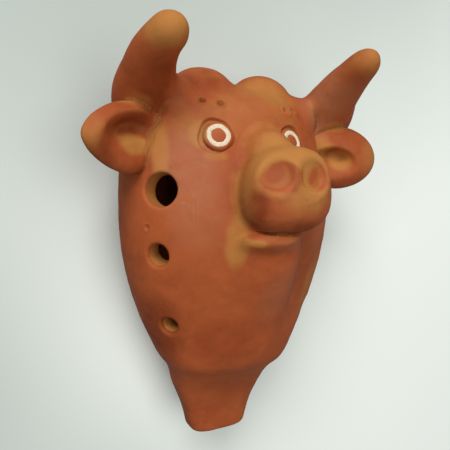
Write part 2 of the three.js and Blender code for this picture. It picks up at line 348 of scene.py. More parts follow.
def work_in(piece: Piece, form: Form, joining: Joining) -> None:
    """Sets a form into a piece by way of a working body.

    Args:
        piece: the piece that changes.
        form: the form.
        joining: what becomes of what both hold.
    """
    tool = piece_from("tool", form)
    set_in(piece, tool, joining)
    discard(tool)


def copy_of(piece: Piece, name: str) -> Piece:
    """A copy of a piece with a mesh of its own."""
    return lay_out(name, piece.data.copy())


def discard(*pieces: Piece) -> None:
    """Takes working bodies off the bench.

    Args:
        pieces: the bodies.
    """
    for piece in pieces:
        mesh = piece.data
        bpy.data.objects.remove(piece)
        bpy.data.meshes.remove(mesh)


def box_form(low: Sequence[float], high: Sequence[float]) -> Form:
    """A block between two corners.

    Args:
        low: the corner with the lowest x, y and z.
        high: the corner across from it.

    Returns:
        The block.
    """
    form = bmesh.new()
    bmesh.ops.create_cube(form, size=1.0)
    size = [top - bottom for bottom, top in zip(low, high)]
    bmesh.ops.scale(form, vec=size, verts=form.verts)
    middle = [(top + bottom) / 2 for bottom, top in zip(low, high)]
    bmesh.ops.translate(form, vec=middle, verts=form.verts)
    return form


def turned(profile: Sequence[tuple[float, float]], steps: int) -> Form:
    """A shape turned about the z axis.

    Args:
        profile: the radius and height of each point of its outline, from axis to axis or closed.
        steps: how many points go round it.

    Returns:
        The shape.
    """
    form = bmesh.new()
    verts = [form.verts.new((radius, 0.0, height)) for radius, height in profile]
    edges = [form.edges.new(pair) for pair in zip(verts, verts[1:])]
    bmesh.ops.spin(
        form,
        geom=verts + edges,
        axis=(0, 0, 1),
        cent=(0, 0, 0),
        steps=steps,
        angle=2 * math.pi,
        use_merge=True,
        use_duplicate=False,
    )
    bmesh.ops.remove_doubles(form, verts=form.verts, dist=1e-4)
    bmesh.ops.recalc_face_normals(form, faces=form.faces)
    return form


def stand(form: Form, foot: Points, axis: Points) -> Form:
    """Turns a form's z axis along another axis and moves it to its foot.

    Args:
        form: the form, drawn about the z axis.
        foot: where its origin goes.
        axis: where its z axis goes.

    Returns:
        The same form.
    """
    turn = Vector((0, 0, 1)).rotation_difference(Vector(axis))
    matrix = Matrix.Translation(foot) @ turn.to_matrix().to_4x4()
    bmesh.ops.transform(form, matrix=matrix, verts=form.verts)
    return form


def in_reach(places: Points, forms: Sequence[Form], reach: float) -> Points:
    """Which places lie near some forms.

    Args:
        places: the places.
        forms: the forms, taken together.
        reach: how far their box is grown.

    Returns:
        Whether each place lies in the grown box.
    """
    corners = np.array([vert.co for form in forms for vert in form.verts])
    low, high = corners.min(axis=0) - reach, corners.max(axis=0) + reach
    return np.all((places > low) & (places < high), axis=1)


@dataclass(frozen=True)
class Wander:
    """A gentle unevenness, as hands leave it: a sum of waves in all directions."""

    seed: int
    length: float
    count: int = 28

    def at(self, places: Points) -> Points:
        """The unevenness, mostly between -1 and 1.

        Args:
            places: where it is wanted.

        Returns:
            A number for each place.
        """
        random = np.random.default_rng(self.seed)
        ways = unit(random.normal(size=(self.count, 3)))
        pace = 2 * math.pi / (self.length * random.uniform(0.6, 1.8, self.count))
        phase = random.uniform(0, 2 * math.pi, self.count)
        waves = np.sin(places @ (ways * pace[:, None]).T + phase)
        return waves.sum(axis=1) * math.sqrt(2.0 / self.count) * 0.6


@dataclass
class HeadForm:
    """The hollow head with the beak under its chin, and all that is cut into it."""

    beak_length: float = 25.0
    tip_width: float = 21.2
    tip_thickness: float = 12.6
    beak_drop: float = 2.5
    edge_round: float = 1.8
    beak_squareness: float = 3.4
    length: float = 98.5
    width: float = 77.0
    depth: float = 52.8
    face_share: float = 0.53
    back_squareness: float = 2.35
    crown_round: float = 10.0
    sway: float = 0.9
    rest_trim: float = 1.2
    wall: float = 6.8
    jaw_rise: float = 6.2
    jaw_half_width: float = 10.5
    jaw_above_beak: float = 4.0
    jaw_slope: float = 38.0
    jaw_below_eyes: float = 24.0
    eyes_below_crown: float = 18.8
    ears_below_crown: float = 20.9
    tuft_spacing: float = 22.8
    tuft_size: Triple = (27.0, 24.0, 21.0)
    tuft_rise: float = 4.9
    tuft_aside: float = 0.5
    shoulder_spacing: float = 47.0
    shoulder_size: Triple = (19.0, 17.5, 20.0)
    shoulder_place: tuple[float, float] = (7.6, 3.4)
    left_shoulder_drop: float = 2.2
    hole_diameters: tuple[float, ...] = (10.6, 7.5, 6.1)
    left_holes: tuple[tuple[float, float], ...] = ((14.4, 36.0), (20.7, 37.0), (19.6, 37.0))
    right_holes: tuple[tuple[float, float], ...] = ((14.4, 34.6), (20.0, 31.6), (23.4, 31.6))
    windway_width: float = 11.0
    windway_heights: tuple[float, float] = (3.0, 2.2)
    window_length: float = 6.8
    window_headroom: float = 5.2
    labium_slope: float = 42.0
    # How square the face is across, and where the beak and the lean to the side fade, in beaks
    face_squareness: float = 2.0
    beak_fade: tuple[float, float] = (0.5, 1.5)
    sway_fade: tuple[float, float] = (0.6, 2.0)
    # Shares of the beak's length, the tip's width, and its thickness in front and behind
    tip_outline: tuple[tuple[float, float, float, float], ...] = (
        (0.00, 0.50, 0.50, 0.50),
        (0.40, 0.63, 0.54, 0.55),
        (0.72, 0.79, 0.72, 0.73),
    )
    # Shares of the head's length, half width, face height and back depth
    outline: tuple[tuple[float, float, float, float], ...] = (
        (0.00, 0.50, 0.50, 0.53),
        (0.05, 0.60, 0.69, 0.64),
        (0.11, 0.69, 0.76, 0.76),
        (0.20, 0.80, 0.79, 0.88),
        (0.33, 0.915, 0.89, 0.97),
        (0.46, 0.98, 0.985, 1.00),
        (0.60, 1.00, 0.99, 1.00),
        (0.73, 0.97, 0.88, 0.99),
        (0.84, 0.88, 0.75, 0.94),
        (0.92, 0.76, 0.64, 0.84),
        (1.00, 0.60, 0.50, 0.68),
    )
    stations: Points = field(init=False)

    def __post_init__(self) -> None:
        """Lays out the stations that the skin passes through."""
        rows = []
        for along, wide, face, back in self.tip_outline:
            thick = self.tip_thickness
            y, half = along * self.beak_length, wide * self.tip_width
            rows.append((y, half, face * thick, back * thick))
        for along, wide, face, back in self.outline:
            y = self.beak_length + along * self.length
            rows.append(
                (y, wide * self.width / 2, face * self.face_height, back * self.back_depth)
            )
        self.stations = np.array(rows)

    @property
    def face_height(self) -> float:
        """How far the face stands in front of the seam."""
        return self.depth * self.face_share

    @property
    def back_depth(self) -> float:
        """How far the back lies behind the seam, before it is trimmed."""
        return self.depth - self.face_height

    @property
    def crown(self) -> float:
        """The crown's height along y."""
        return self.beak_length + self.length

    @property
    def eye_line(self) -> float:
        """The eyes' height along y."""
        return self.crown - self.eyes_below_crown

    @property
    def rest(self) -> float:
        """The z of the flat that the whistle lies on."""
        return self.rest_trim - self.back_depth

    def surface(
        self, y: Points, angle: Points, growth: float = 0.0, wall: float = 0.0
    ) -> Points:
        """Points of the skin, or of the chamber's wall.

        Args:
            y: heights.
            angle: 0 is the seam on the left, and a quarter turn the middle of the face.
            growth: how far the skin is grown outwards.
            wall: 0 for the skin, or the clay's thickness for the chamber.

        Returns:
            A point for each height and angle.
        """
        y, angle = np.broadcast_arrays(np.asarray(y, float), np.asarray(angle, float))
        half, face, back = through(
            self.stations[:, 0], self.stations[:, 1:], np.clip(y, 0, self.crown).ravel()
        ).T
        half, face, back = (size.reshape(y.shape) for size in (half, face, back))
        if wall:
            end = quarter_round((self.crown - wall - y) / (2 * self.crown_round))
            inset = wall
        else:
            end = quarter_round((self.crown + growth - y) / self.crown_round)
            edge = 1 - quarter_round((y + growth) / self.edge_round)
            inset = self.edge_round * edge - growth
        near, far = (share * self.beak_length for share in self.beak_fade)
        beak = 1 - smooth_step(y, near, far)
        cos, sin = np.cos(angle), np.sin(angle)
        front = sin > 0
        square = np.where(front, self.face_squareness, self.back_squareness)
        power = 2 / mix(square, self.beak_squareness, beak)
        x = (half - inset) * end * np.sign(cos) * np.abs(cos) ** power
        depth = (np.where(front, face, back) - inset) * end
        height = depth * np.sign(sin) * np.abs(sin) ** power
        jaw_start = self.beak_length + self.jaw_above_beak
        jaw = smooth_step(y, jaw_start, jaw_start + self.jaw_slope)
        jaw = jaw * (1 - smooth_step(y, self.eye_line - self.jaw_below_eyes, self.eye_line))
        across = np.exp(-((x / self.jaw_half_width) ** 4)) * np.clip(3 * sin, 0, 1)
        ridge = 0.0 if wall else self.jaw_rise * jaw * end * across
        near, far = (share * self.beak_length for share in self.sway_fade)
        sway = smooth_step(y, near, far)
        sway = self.sway * sway * (
            1 - smooth_step(y, self.eye_line - 1.2 * self.jaw_below_eyes, self.eye_line)
        )
        return np.stack([x + sway, y, height + ridge - self.beak_drop * beak], axis=-1)

    def flank(self, y: float, degrees: float, side: Side) -> tuple[Points, Points]:
        """A point on the flank, and the skin's normal there.

        Args:
            y: its height.
            degrees: how far it is round from the seam.
            side: the side it is on.

        Returns:
            The point and the normal.
        """
        angle = math.radians(degrees if side is Side.LEFT else 180 - degrees)
        step, turn = 0.5, 0.02
        along = self.surface(y + step, angle) - self.surface(y - step, angle)
        around = self.surface(y, angle + turn) - self.surface(y, angle - turn)
        return self.surface(y, angle), unit(np.cross(along, around))

    def skin(self, growth: float = 0.0, around: int = 176, step: float = 1.1) -> Form:
        """The outer skin, pressed from one ball, with its rings close at both ends.

        Args:
            growth: how far it is grown outwards.
            around: how many points each ring has.
            step: how far apart the rings are between the ends.

        Returns:
            The skin.
        """
        top = self.crown + growth
        turn = np.linspace(0, math.pi / 2, 25)
        beak_end = -growth + self.edge_round * (1 - np.cos(turn[::3]))
        crown_end = top - self.crown_round * (1 - np.sin(turn))
        count = int((crown_end[0] - beak_end[-1]) / step)
        body = np.linspace(beak_end[-1], crown_end[0], count)[1:-1]
        heights = np.concatenate([[-growth], beak_end, body, crown_end])

        def draw(points: Points) -> Points:
            """Moves the ball's points to the skin.

            Args:
                points: where they are.

            Returns:
                Where they go.
            """
            along, angle = down_and_round(points)
            y = np.interp(along, np.linspace(0, 1, len(heights)), heights)
            drawn = self.surface(y, angle, growth)
            pole = (along < 1e-6) | (along > 1 - 1e-6)
            drawn[pole, 0] = 0.0
            drawn[pole, 2] = np.where(y[pole] < self.beak_length, -self.beak_drop, 0.0)
            return drawn

        return press(ball(around, len(heights) - 1), draw)

    def tufts(self, growth: float = 0.0) -> list[Form]:
        """The two rounded tufts on the poll, and the clay that leads from them to the horns.

        Args:
            growth: how far they are grown outwards.

        Returns:
            The four lumps.
        """
        reach = np.array(self.tuft_size) / 2 + growth
        y = self.crown + self.tuft_rise - self.tuft_size[1] / 2
        shoulder = np.array(self.shoulder_size) / 2 + growth
        below, forward = self.shoulder_place
        lumps = []
        for side in Side:
            tuft = [self.tuft_aside + side.value * self.tuft_spacing / 2, y, 0.0]
            lumps.append((reach, tuft))
            drop = below + (self.left_shoulder_drop if side is Side.LEFT else 0.0)
            beside = [side.value * self.shoulder_spacing / 2, self.crown - drop, forward]
            lumps.append((shoulder, beside))
        return [
            press(ball(64, 40), lambda points, size=size, place=place: points * size + place)
            for size, place in lumps
        ]

    def chamber(self) -> Form:
        """The hollow inside, which the beak closes at the chin.

        Returns:
            The air in it, as a form.
        """
        low, high = self.beak_length, self.crown - self.wall
        cap = 0.025

        def draw(points: Points) -> Points:
            """Moves the ball's points to the chamber's wall.

            Args:
                points: where they are.

            Returns:
                Where they go.
            """
            along, angle = down_and_round(points)
            share = np.clip((along - cap) / (1 - cap), 0, 1)
            y = mix(low, high, np.sin(share * math.pi / 2))
            drawn = self.surface(y, angle, wall=self.wall)
            drawn[(along < 1e-6) | (along > 1 - 1e-6), 0::2] = 0.0
            return drawn

        return press(ball(72, 40), draw)

    def hole_seats(self) -> list[tuple[float, Points, Points]]:
        """Where the six finger holes are.

        Returns:
            The width, the place on the skin and the axis of each.
        """
        seats = []
        for side in Side:
            y = self.crown - self.ears_below_crown
            row = self.left_holes if side is Side.LEFT else self.right_holes
            for width, (drop, degrees) in zip(self.hole_diameters, row):
                y -= drop
                seats.append((width, *self.flank(y, degrees, side)))
        return seats

    def finger_holes(self) -> list[Form]:
        """Tools for the six finger holes, bored square to the skin.

        Returns:
            One tool for each hole.
        """
        tools = []
        reach = 1.7 * self.wall
        for width, foot, normal in self.hole_seats():
            radius = width / 2
            profile = [(0, -reach), (radius * 0.86, -reach), (radius * 0.93, -1.0)]
            profile += [(radius * 0.94, 0.0), (radius * 0.95, 5), (0, 5)]
            tools.append(stand(turned(profile, 48), foot, normal))
        return tools

    @property
    def labium(self) -> tuple[float, float]:
        """The y and z of the edge that splits the breath."""
        y = self.beak_length + self.window_length
        return y, float(self.surface(y, -math.pi / 2)[2]) + self.wall

    def windway(self) -> Form:
        """The flat breath slot through the beak.

        Returns:
            The air in it, as a form.
        """
        _, edge = self.labium
        fall = (edge + self.beak_drop) / self.beak_length
        form = box_form((-self.windway_width / 2, -1, -1), (self.windway_width / 2, 1, 1))

        def draw(points: Points) -> Points:
            """Moves the block's corners to the slot's two ends.

            Args:
                points: where they are.

            Returns:
                Where they go.
            """
            start = points[:, 1] < 0
            y = np.where(start, -self.edge_round, self.beak_length + self.edge_round)
            height = np.where(start, *self.windway_heights)
            z = fall * y - self.beak_drop + points[:, 2] * height / 2
            return np.stack([points[:, 0], y, z], axis=1)

        return press(form, draw)

    def sound_window(self) -> Form:
        """The window under the chin and the ramp that rises to the labium's edge.

        Returns:
            The air in both, as one form.
        """
        end, edge = self.labium
        half = self.windway_width / 2
        run = 2 * self.back_depth
        low = (-half, self.beak_length - 0.02, edge - run)
        opening = box_form(low, (half, end, edge + self.window_headroom))

        def draw(points: Points) -> Points:
            """Moves the block's corners to the ramp's.

            Args:
                points: where they are.

            Returns:
                Where they go.
            """
            near, low = points[:, 1] < 0, points[:, 2] < 0
            slope = run * math.tan(math.radians(self.labium_slope))
            y = np.where(near, end - 0.3, np.where(low, end + run, end))
            z = np.where(low, np.where(near, edge - run, edge - slope), edge)
            return np.stack([points[:, 0], y, z], axis=1)

        whole = piece_from("window", opening)
        work_in(whole, press(box_form((-half, -1, -1), (half, 1, 1)), draw), Joining.ADD)
        return form_from(whole)


@dataclass
class HornRoll:
    """A tapering roll of clay beside the tufts, which reaches forward to a blunt tip."""

    side: Side
    below_crown: float = 10.5
    up_flank: float = 10.0
    seat: float = 7.6
    root_width: float = 24.0
    root_thickness: float = 19.0
    tip_radius: float = 4.6
    rise: float = 19.5
    reach: float = 29.0
    sweep: float = 1.2
    lean: float = 0.0
    girth: float = 1.0
    flare: float = 0.0
    buried: float = 0.35
    # How far each bend has got of the lean, the rise and the reach
    bends: tuple[Triple, ...] = ((0.4, 0.44, 0.33), (0.8, 0.73, 0.64))
    taper: float = 0.72
    blunt: float = 0.12
    flare_fade: tuple[float, float] = (0.2, 0.55)

    def spine(self, head: HeadForm) -> Points:
        """The bent line that the roll is drawn along.

        Args:
            head: the head it is set on.

        Returns:
            Its five points, for the left side.
        """
        foot, _ = head.flank(head.crown - self.below_crown, self.up_flank, Side.LEFT)
        root = foot + [self.root_width / 2 - self.seat, 0, 0]
        inside = (-self.seat, -self.buried * self.root_width, -self.buried * self.root_thickness)
        bent = [
            (self.sweep - leant * self.lean, risen * self.rise, reached * self.reach)
            for leant, risen, reached in self.bends
        ]
        return root + np.array([inside, (0, 0, 0), *bent, (-self.lean, self.rise, self.reach)])

    def form(self, head: HeadForm, growth: float = 0.0) -> Form:
        """The roll, drawn out along its spine.

        Args:
            head: the head it is set on.
            growth: how far it is grown outwards.

        Returns:
            The roll.
        """
        spine = self.spine(head)
        knots = np.linspace(0, 1, len(spine))

        def draw(points: Points) -> Points:
            """Moves the ball's points to the roll.

            Args:
                points: where they are.

            Returns:
                Where they go.
            """
            along, turn = down_and_round(points)
            share = 0.5 * (along + np.sin(along * math.pi / 2))
            share = np.clip(share, 0.0, 1.0)
            forward = unit(
                through(knots, spine, np.minimum(share + 0.01, 1))
                - through(knots, spine, np.maximum(share - 0.01, 0))
            )
            across = unit(np.array([1.0, 0, 0]) - forward * forward[:, :1])
            up = np.cross(forward, across)
            taper = share**self.taper
            ends = quarter_round((1 - share) / self.blunt) * quarter_round(0.15 + share / 0.3)
            wide = self.girth * mix(self.root_width / 2, self.tip_radius, taper) * ends
            thick = self.girth * mix(self.root_thickness / 2, self.tip_radius, taper) * ends
            wide = wide + self.flare * (1 - smooth_step(share, *self.flare_fade))
            pole = (along > 1e-6) & (along < 1 - 1e-6)
            wide, thick = (wide + growth) * pole, (thick + growth) * pole
            drawn = through(knots, spine, share) + across * (wide * np.cos(turn))[:, None]
            drawn -= up * (thick * np.sin(turn))[:, None]
            drawn += forward * (growth * smooth_step(share, 0.9, 1.0))[:, None]
            return drawn * [self.side.value, 1, 1]

        return press(ball(56, 72), draw)


@dataclass
class EarLeaf:
    """A leaf of clay under the horn, cupped forward with a thumb."""

    side: Side
    below_crown: float = 20.9
    up_flank: float = 27.0
    seat: float = 6.3
    size: Triple = (29.6, 21.2, 14.0)
    cup_size: tuple[float, float] = (21.5, 16.0)
    cup_place: tuple[float, float] = (-1.0, 0.6)
    cup_depth: float = 6.6
    turn: float = 22.0
    squareness: float = 1.65
    sag: float = -0.3
    # Where the cup's wall starts and ends, as shares of its radius, below and above its middle
    wall_below: tuple[float, float] = (0.05, 1.25)
    wall_above: tuple[float, float] = (0.45, 1.0)

    def form(self, head: HeadForm, growth: float = 0.0) -> Form:
        """The leaf with its cup.

        Args:
            head: the head it is set on.
            growth: how far it is grown outwards.

        Returns:
            The leaf.
        """
        foot, _ = head.flank(head.crown - self.below_crown, self.up_flank, Side.LEFT)
        width, _, thickness = self.size
        shift = foot + [width / 2 - self.seat, -self.sag, 0]
        angle = math.radians(self.turn)

        def draw(points: Points) -> Points:
            """Moves the ball's points to the leaf, and presses the cup in.

            Args:
                points: where they are.

            Returns:
                Where they go.
            """
            x, y, z = (squared(points, self.squareness) * (np.array(self.size) / 2 + growth)).T
            across = 2 * (x - self.cup_place[0]) / self.cup_size[0]
            up = 2 * (y - self.cup_place[1]) / self.cup_size[1]
            spread = np.sqrt(across**2 + up**2)
            steep = (up + 0.25 * across) / np.maximum(spread, 0.05)
            steep = smooth_step(steep, -0.6, 0.8)
            start, end = (mix(*ends, steep) for ends in zip(self.wall_below, self.wall_above))
            bowl = 1 - smooth_step(spread, start, end)
            bowl = bowl * (1 - 0.55 * smooth_step(-across, 0.1, 1.0))
            front = np.clip(5 * z / thickness, 0, 1)
            z = z - self.cup_depth * bowl * mix(0.8, 1.0, steep) * front
            turned_x = x * math.cos(angle) - z * math.sin(angle)
            turned_z = x * math.sin(angle) + z * math.cos(angle)
            drawn = np.stack([turned_x, y, turned_z], axis=1) + shift
            return drawn * [self.side.value, 1, 1]

        return press(ball(120, 80), draw)


@dataclass
class Muzzle:
    """The blunt nose pad with two thumbed nostrils, its bridge, and the lip under it."""

    width: float = 31.0
    height: float = 28.0
    thickness: float = 20.0
    proud: float = 9.9
    below_crown: float = 34.0
    aside: float = 2.6
    roll: float = 4.0
    squareness: float = 2.5
    flare: float = 0.14
    spread: float = 0.09
    bridge_size: Triple = (18.0, 23.0, 20.0)
    bridge_aside: float = 1.3
    bridge_above: float = 7.0
    bridge_back: float = 7.2
    bridge_slope: float = -0.08
    nostril_size: tuple[float, float] = (10.4, 9.4)
    nostril_depth: float = 1.9
    nostril_wall: tuple[float, float] = (0.74, 1.12)
    nostril_spacing: float = 12.4
    nostril_above: float = 4.5
    nostril_aside: float = -0.1
    nostril_splay: float = 14.0
    rim_height: float = 0.45
    rim_place: tuple[float, float] = (1.34, 0.26)
    lip_size: Triple = (20.5, 6.6, 10.0)
    lip_squareness: float = 2.2
    lip_aside: float = -0.8
    lip_below: float = 15.1
    lip_proud: float = 3.0
    lip_skew: float = 0.012
    lip_bow: float = 0.028

    def centre(self, head: HeadForm) -> tuple[float, float]:
        """The pad's height along y, and the z of its front."""
        y = head.crown - self.below_crown
        return y, float(head.surface(y, math.pi / 2)[2]) + self.proud

    def pad(self, head: HeadForm, growth: float = 0.0) -> Form:
        """The nose pad.

        Args:
            head: the head it is set on.
            growth: how far it is grown outwards.

        Returns:
            The pad with its nostrils.
        """
        middle, front = self.centre(head)
        angle = math.radians(self.roll)
        size = np.array([self.width, self.height, self.thickness]) / 2 + growth

        def draw(points: Points) -> Points:
            """Moves the ball's points to the pad, and presses the nostrils in.

            Args:
                points: where they are.

            Returns:
                Where they go.
            """
            pad = squared(points, self.squareness)
            taper = 1 - self.flare * (1 - pad[:, 2]) / 2
            x, y, z = (pad * size).T
            x, y = x * taper * (1 - self.spread * pad[:, 1]), y * taper
            x, y = (
                x * math.cos(angle) - y * math.sin(angle) + self.aside,
                x * math.sin(angle) + y * math.cos(angle) + middle,
            )
            z = z + front - self.thickness / 2
            front_side = pad[:, 2] > 0.3
            for side in Side:
                across = x - self.nostril_aside - side.value * self.nostril_spacing / 2
                up = y - middle - self.nostril_above
                spread = np.hypot(
                    2 * across / self.nostril_size[0], 2 * up / self.nostril_size[1]
                )
                middle_z = z[np.argmin(np.where(front_side, spread, np.inf))]
                tilt = side.value * math.tan(math.radians(self.nostril_splay)) * across
                floor = middle_z - self.nostril_depth - tilt
                moved = mix(floor, z, smooth_step(spread, *self.nostril_wall))
                moved = moved + self.rim_height * hump(spread, *self.rim_place)
                z = np.where(front_side, moved, z)
            return np.stack([x, y, z], axis=1)

        return press(ball(160, 120), draw)

    def bridge(self, head: HeadForm, growth: float = 0.0) -> Form:
        """The low ridge that leads up from the nose between the eyes.

        Args:
            head: the head it is set on.
            growth: how far it is grown outwards.

        Returns:
            The ridge.
        """
        middle, front = self.centre(head)
        size = np.array(self.bridge_size) / 2 + growth
        z = front - self.bridge_back - self.bridge_size[2] / 2
        shift = np.array([self.bridge_aside, middle + self.bridge_above, z])
        slope = np.array([0, 0, self.bridge_slope * size[1]])
        return press(
            ball(72, 48), lambda points: points * size + points[:, 1:2] * slope + shift
        )

    def lip(self, head: HeadForm, growth: float = 0.0) -> Form:
        """The lower lip.

        Args:
            head: the head it is set on.
            growth: how far it is grown outwards.

        Returns:
            The lip.
        """
        y = head.crown - self.below_crown - self.lip_below
        front = float(head.surface(y, math.pi / 2)[2]) + self.lip_proud
        size = np.array(self.lip_size) / 2 + growth

        def draw(points: Points) -> Points:
            """Moves the ball's points to the lip, bowed round the jaw.

            Args:
                points: where they are.

            Returns:
                Where they go.
            """
            lip = squared(points, self.lip_squareness) * size
            lip[:, 1] += self.lip_skew * lip[:, 0] ** 2 * np.sign(lip[:, 0])
            lip[:, 2] -= self.lip_bow * lip[:, 0] ** 2
            return lip + [self.lip_aside, y, front - self.lip_size[2] / 2]

        return press(ball(96, 48), draw)


@dataclass(frozen=True)
class Joint:
    """Where two forms are luted together, and how far the clay is smoothed over there."""

    first: str
    second: str
    soft: float
    soft_above: float
    low: float = 0.0
    high: float = 1.0
    scored: float = 0.0
    scored_to: float = 200.0

    def reach(self, y: Points) -> Points:
        """How far the smoothing reaches at each height."""
        return mix(self.soft, self.soft_above, smooth_step(y, self.low, self.high))

    def line(self, apart: Points, y: Points) -> Points:
        """How deep the line scored along the joint is.

        Args:
            apart: how far each point is from the further of the two forms.
            y: its height.

        Returns:
            The depth at each point.
        """
        line = self.scored * (1 - smooth_step(apart, 0.3, 1.15))
        return line * (1 - smooth_step(y, self.scored_to - 5, self.scored_to))


@dataclass
class Skin:
    """The luted clay's surface: its points, and which of them are neighbours."""

    mesh: bpy.types.Mesh
    places: Points = field(init=False)
    near: Points = field(init=False)
    starts: Points = field(init=False)
    counts: Points = field(init=False)
    give: float = 0.5

    def __post_init__(self) -> None:
        """Sorts the edges by point."""
        self.places = places_of(self.mesh)
        ends = whole_numbers_of(self.mesh.edges, "vertices", 2).reshape(-1, 2)
        here = np.concatenate([ends[:, 0], ends[:, 1]])
        there = np.concatenate([ends[:, 1], ends[:, 0]])
        order = np.argsort(here, kind="stable")
        self.near = there[order]
        self.counts = np.bincount(here, minlength=len(self.places))
        self.starts = np.concatenate([[0], np.cumsum(self.counts)[:-1]])

    @property
    def whole(self) -> Points:
        """The weights that smooth every point alike."""
        return np.ones(len(self.places))

    def around(self, values: Points) -> Points:
        """The mean of each point's neighbours."""
        return np.add.reduceat(values[self.near], self.starts) / self.counts[:, None]

    def smooth(self, places: Points, weights: Points, rounds: int) -> Points:
        """Smooths the surface as a damp thumb does.

        Args:
            places: the points' places.
            weights: how much of each round each point takes, from 0 to 1.
            rounds: how often the thumb passes.

        Returns:
            The smoothed places.
        """
        share = self.give * weights[:, None]
        for _ in range(rounds):
            places = places + share * (self.around(places) - places)
        return places

    def hollows(self) -> Points:
        """How hollow the surface is.

        Returns:
            A number for each point, above 0 in creases and below 0 on ridges.
        """
        normals = normals_of(self.mesh)
        fine = self.smooth(self.places, self.whole, 6)
        wide = self.smooth(fine, self.whole, 30)
        return ((fine - self.places) * normals).sum(axis=1) * 4 + (
            (wide - self.places) * normals
        ).sum(axis=1)


@dataclass(frozen=True)
class Prick:
    """A small hole pressed with a point, with a little clay pushed up round it."""

    x: float
    y: float
    radius: float
    depth: float
    # Whether shade is painted into the hole
    dark: bool = True

    def press_in(self, apart: Points) -> Points:
        """How far the surface moves.

        Args:
            apart: how far each point is from the prick.

        Returns:
            The move outwards of each point, below 0 in the hole and above 0 on its rim.
        """
        share = apart / self.radius
        pit = self.depth * np.exp(-(share**2) * 0.9)
        rim = 0.22 * self.depth * hump(share, 1.75, 0.5)
        return np.where(share < 4, rim - pit, 0)


@dataclass
class EyeSet:
    """The eyes: shallow sockets, buttons of clay and rings of cream slip."""

    spacing: float = 26.4
    aside: float = -1.5
    socket: float = 11.2
    socket_aside: float = 0.7
    socket_depth: float = 1.4
    socket_edge: tuple[float, float] = (-0.55, 0.3)
    button: float = 9.2
    proud: float = 0.5
    ring_outer: float = 7.4
    ring_inner: float = 4.4
    ring_height: float = 0.26
    ring_below: float = 0.22

    def seat(self, head: HeadForm, side: Side) -> tuple[Points, Points]:
        """Where an eye sits.

        Args:
            head: the head.
            side: the side the eye is on.

        Returns:
            The place on the skin, and the normal there.
        """
        half = float(head.surface(head.eye_line, 0.0)[0])
        out = self.spacing / 2 + side.value * self.aside
        return head.flank(head.eye_line, math.degrees(math.acos(out / half)), side)

    def dish(self, out: Points, up: Points) -> Points:
        """How deep the socket is pressed, deeper on its outer side.

        Args:
            out: how far each point is from the eye's middle, away from the nose.
            up: how far it is above it.

        Returns:
            The depth at each point.
        """
        radius = self.socket / 2
        spread = np.hypot(out - self.socket_aside, up)
        angle = np.arctan2(up, out)
        wobble = 0.25 * np.sin(3 * angle + 1) + 0.12 * np.sin(5 * angle)
        start, end = (radius + edge for edge in self.socket_edge)
        floor = 1 - smooth_step(spread + wobble, start, end)
        return floor * mix(0.7, 1.15, smooth_step(0.9 * out + 0.45 * up, -5, 5))

    def button_form(self, head: HeadForm, side: Side) -> Form:
        """A button with a soft edge, a ring pressed round it and a low pupil.

        Args:
            head: the head.
            side: the side it is on.

        Returns:
            The button, in its place.
        """
        radius = self.button / 2
        foot, top = 0.25 - self.socket_depth, self.proud
        outer, inner = self.ring_outer / 2, self.ring_inner / 2
        profile = [
            (0.0, foot),
            (radius - 0.5, foot),
            (radius, foot + 0.5),
            (radius + 0.02, top - 1.0),
            (radius - 0.16, top - 0.45),
            (radius - 0.5, top - 0.12),
            (outer + 0.12, top - 0.02),
            (outer - 0.05, top - 0.22),
            (0.5 * (outer + inner), top - 0.3),
            (inner + 0.05, top - 0.2),
            (inner - 0.2, top + 0.02),
            (0.6 * inner, top + 0.14),
            (0.3 * inner, top + 0.2),
            (0.0, top + 0.22),
        ]
        form = turned(profile, 96)
        bmesh.ops.subdivide_edges(form, edges=form.edges, cuts=1, use_grid_fill=True)
        ripple = Wander(seed=31 + side.value, length=3.4)
        press(form, lambda points: points * (1 + 0.018 * ripple.at(points))[:, None])
        return stand(form, *self.seat(head, side))

    def ring_form(self, head: HeadForm, side: Side) -> Form:
        """A ring of thick slip, laid on by brush, with an uneven edge.

        Args:
            head: the head.
            side: the side it is on.

        Returns:
            The ring, in its place.
        """
        middle = (self.ring_outer + self.ring_inner) / 4
        half = (self.ring_outer - self.ring_inner) / 4
        foot = self.proud - self.ring_below
        profile = [
            (middle + half * math.cos(t), foot + self.ring_height * math.sin(t))
            for t in np.linspace(0, 2 * math.pi, 17)
        ]
        edge, top = Wander(seed=11 + side.value, length=2.6), Wander(seed=5, length=1.1)

        def draw(points: Points) -> Points:
            """Makes the ring's edge and top uneven.

            Args:
                points: where they are.

            Returns:
                Where they go.
            """
            flat = np.hypot(points[:, 0], points[:, 1])
            round_it = points / np.maximum(flat, 1e-6)[:, None] * 3.0
            spread = 1 + 0.1 * edge.at(round_it) * (flat - middle) / half
            wide = (middle + (flat - middle) * spread) / np.maximum(flat, 1e-6)
            lifted = points * np.stack([wide, wide, np.ones_like(wide)], axis=1)
            lifted[:, 2] += 0.035 * top.at(points) + 0.03
            return lifted

        return stand(press(turned(profile, 128), draw), *self.seat(head, side))


@dataclass(frozen=True)
class Touch:
    """A place where the slip is rubbed through or laid on thick, where dust lies, or where light,
    shade or sheen is painted; or kept from it below 0.
    """

    centre: Triple
    reach: Triple
    amount: float = 1.0

    def on(self, places: Points) -> Points:
        """How much of it there is at each place."""
        far = np.linalg.norm((places - np.array(self.centre)) / np.array(self.reach), axis=1)
        return self.amount * (1 - smooth_step(far, 0.35, 1.0))


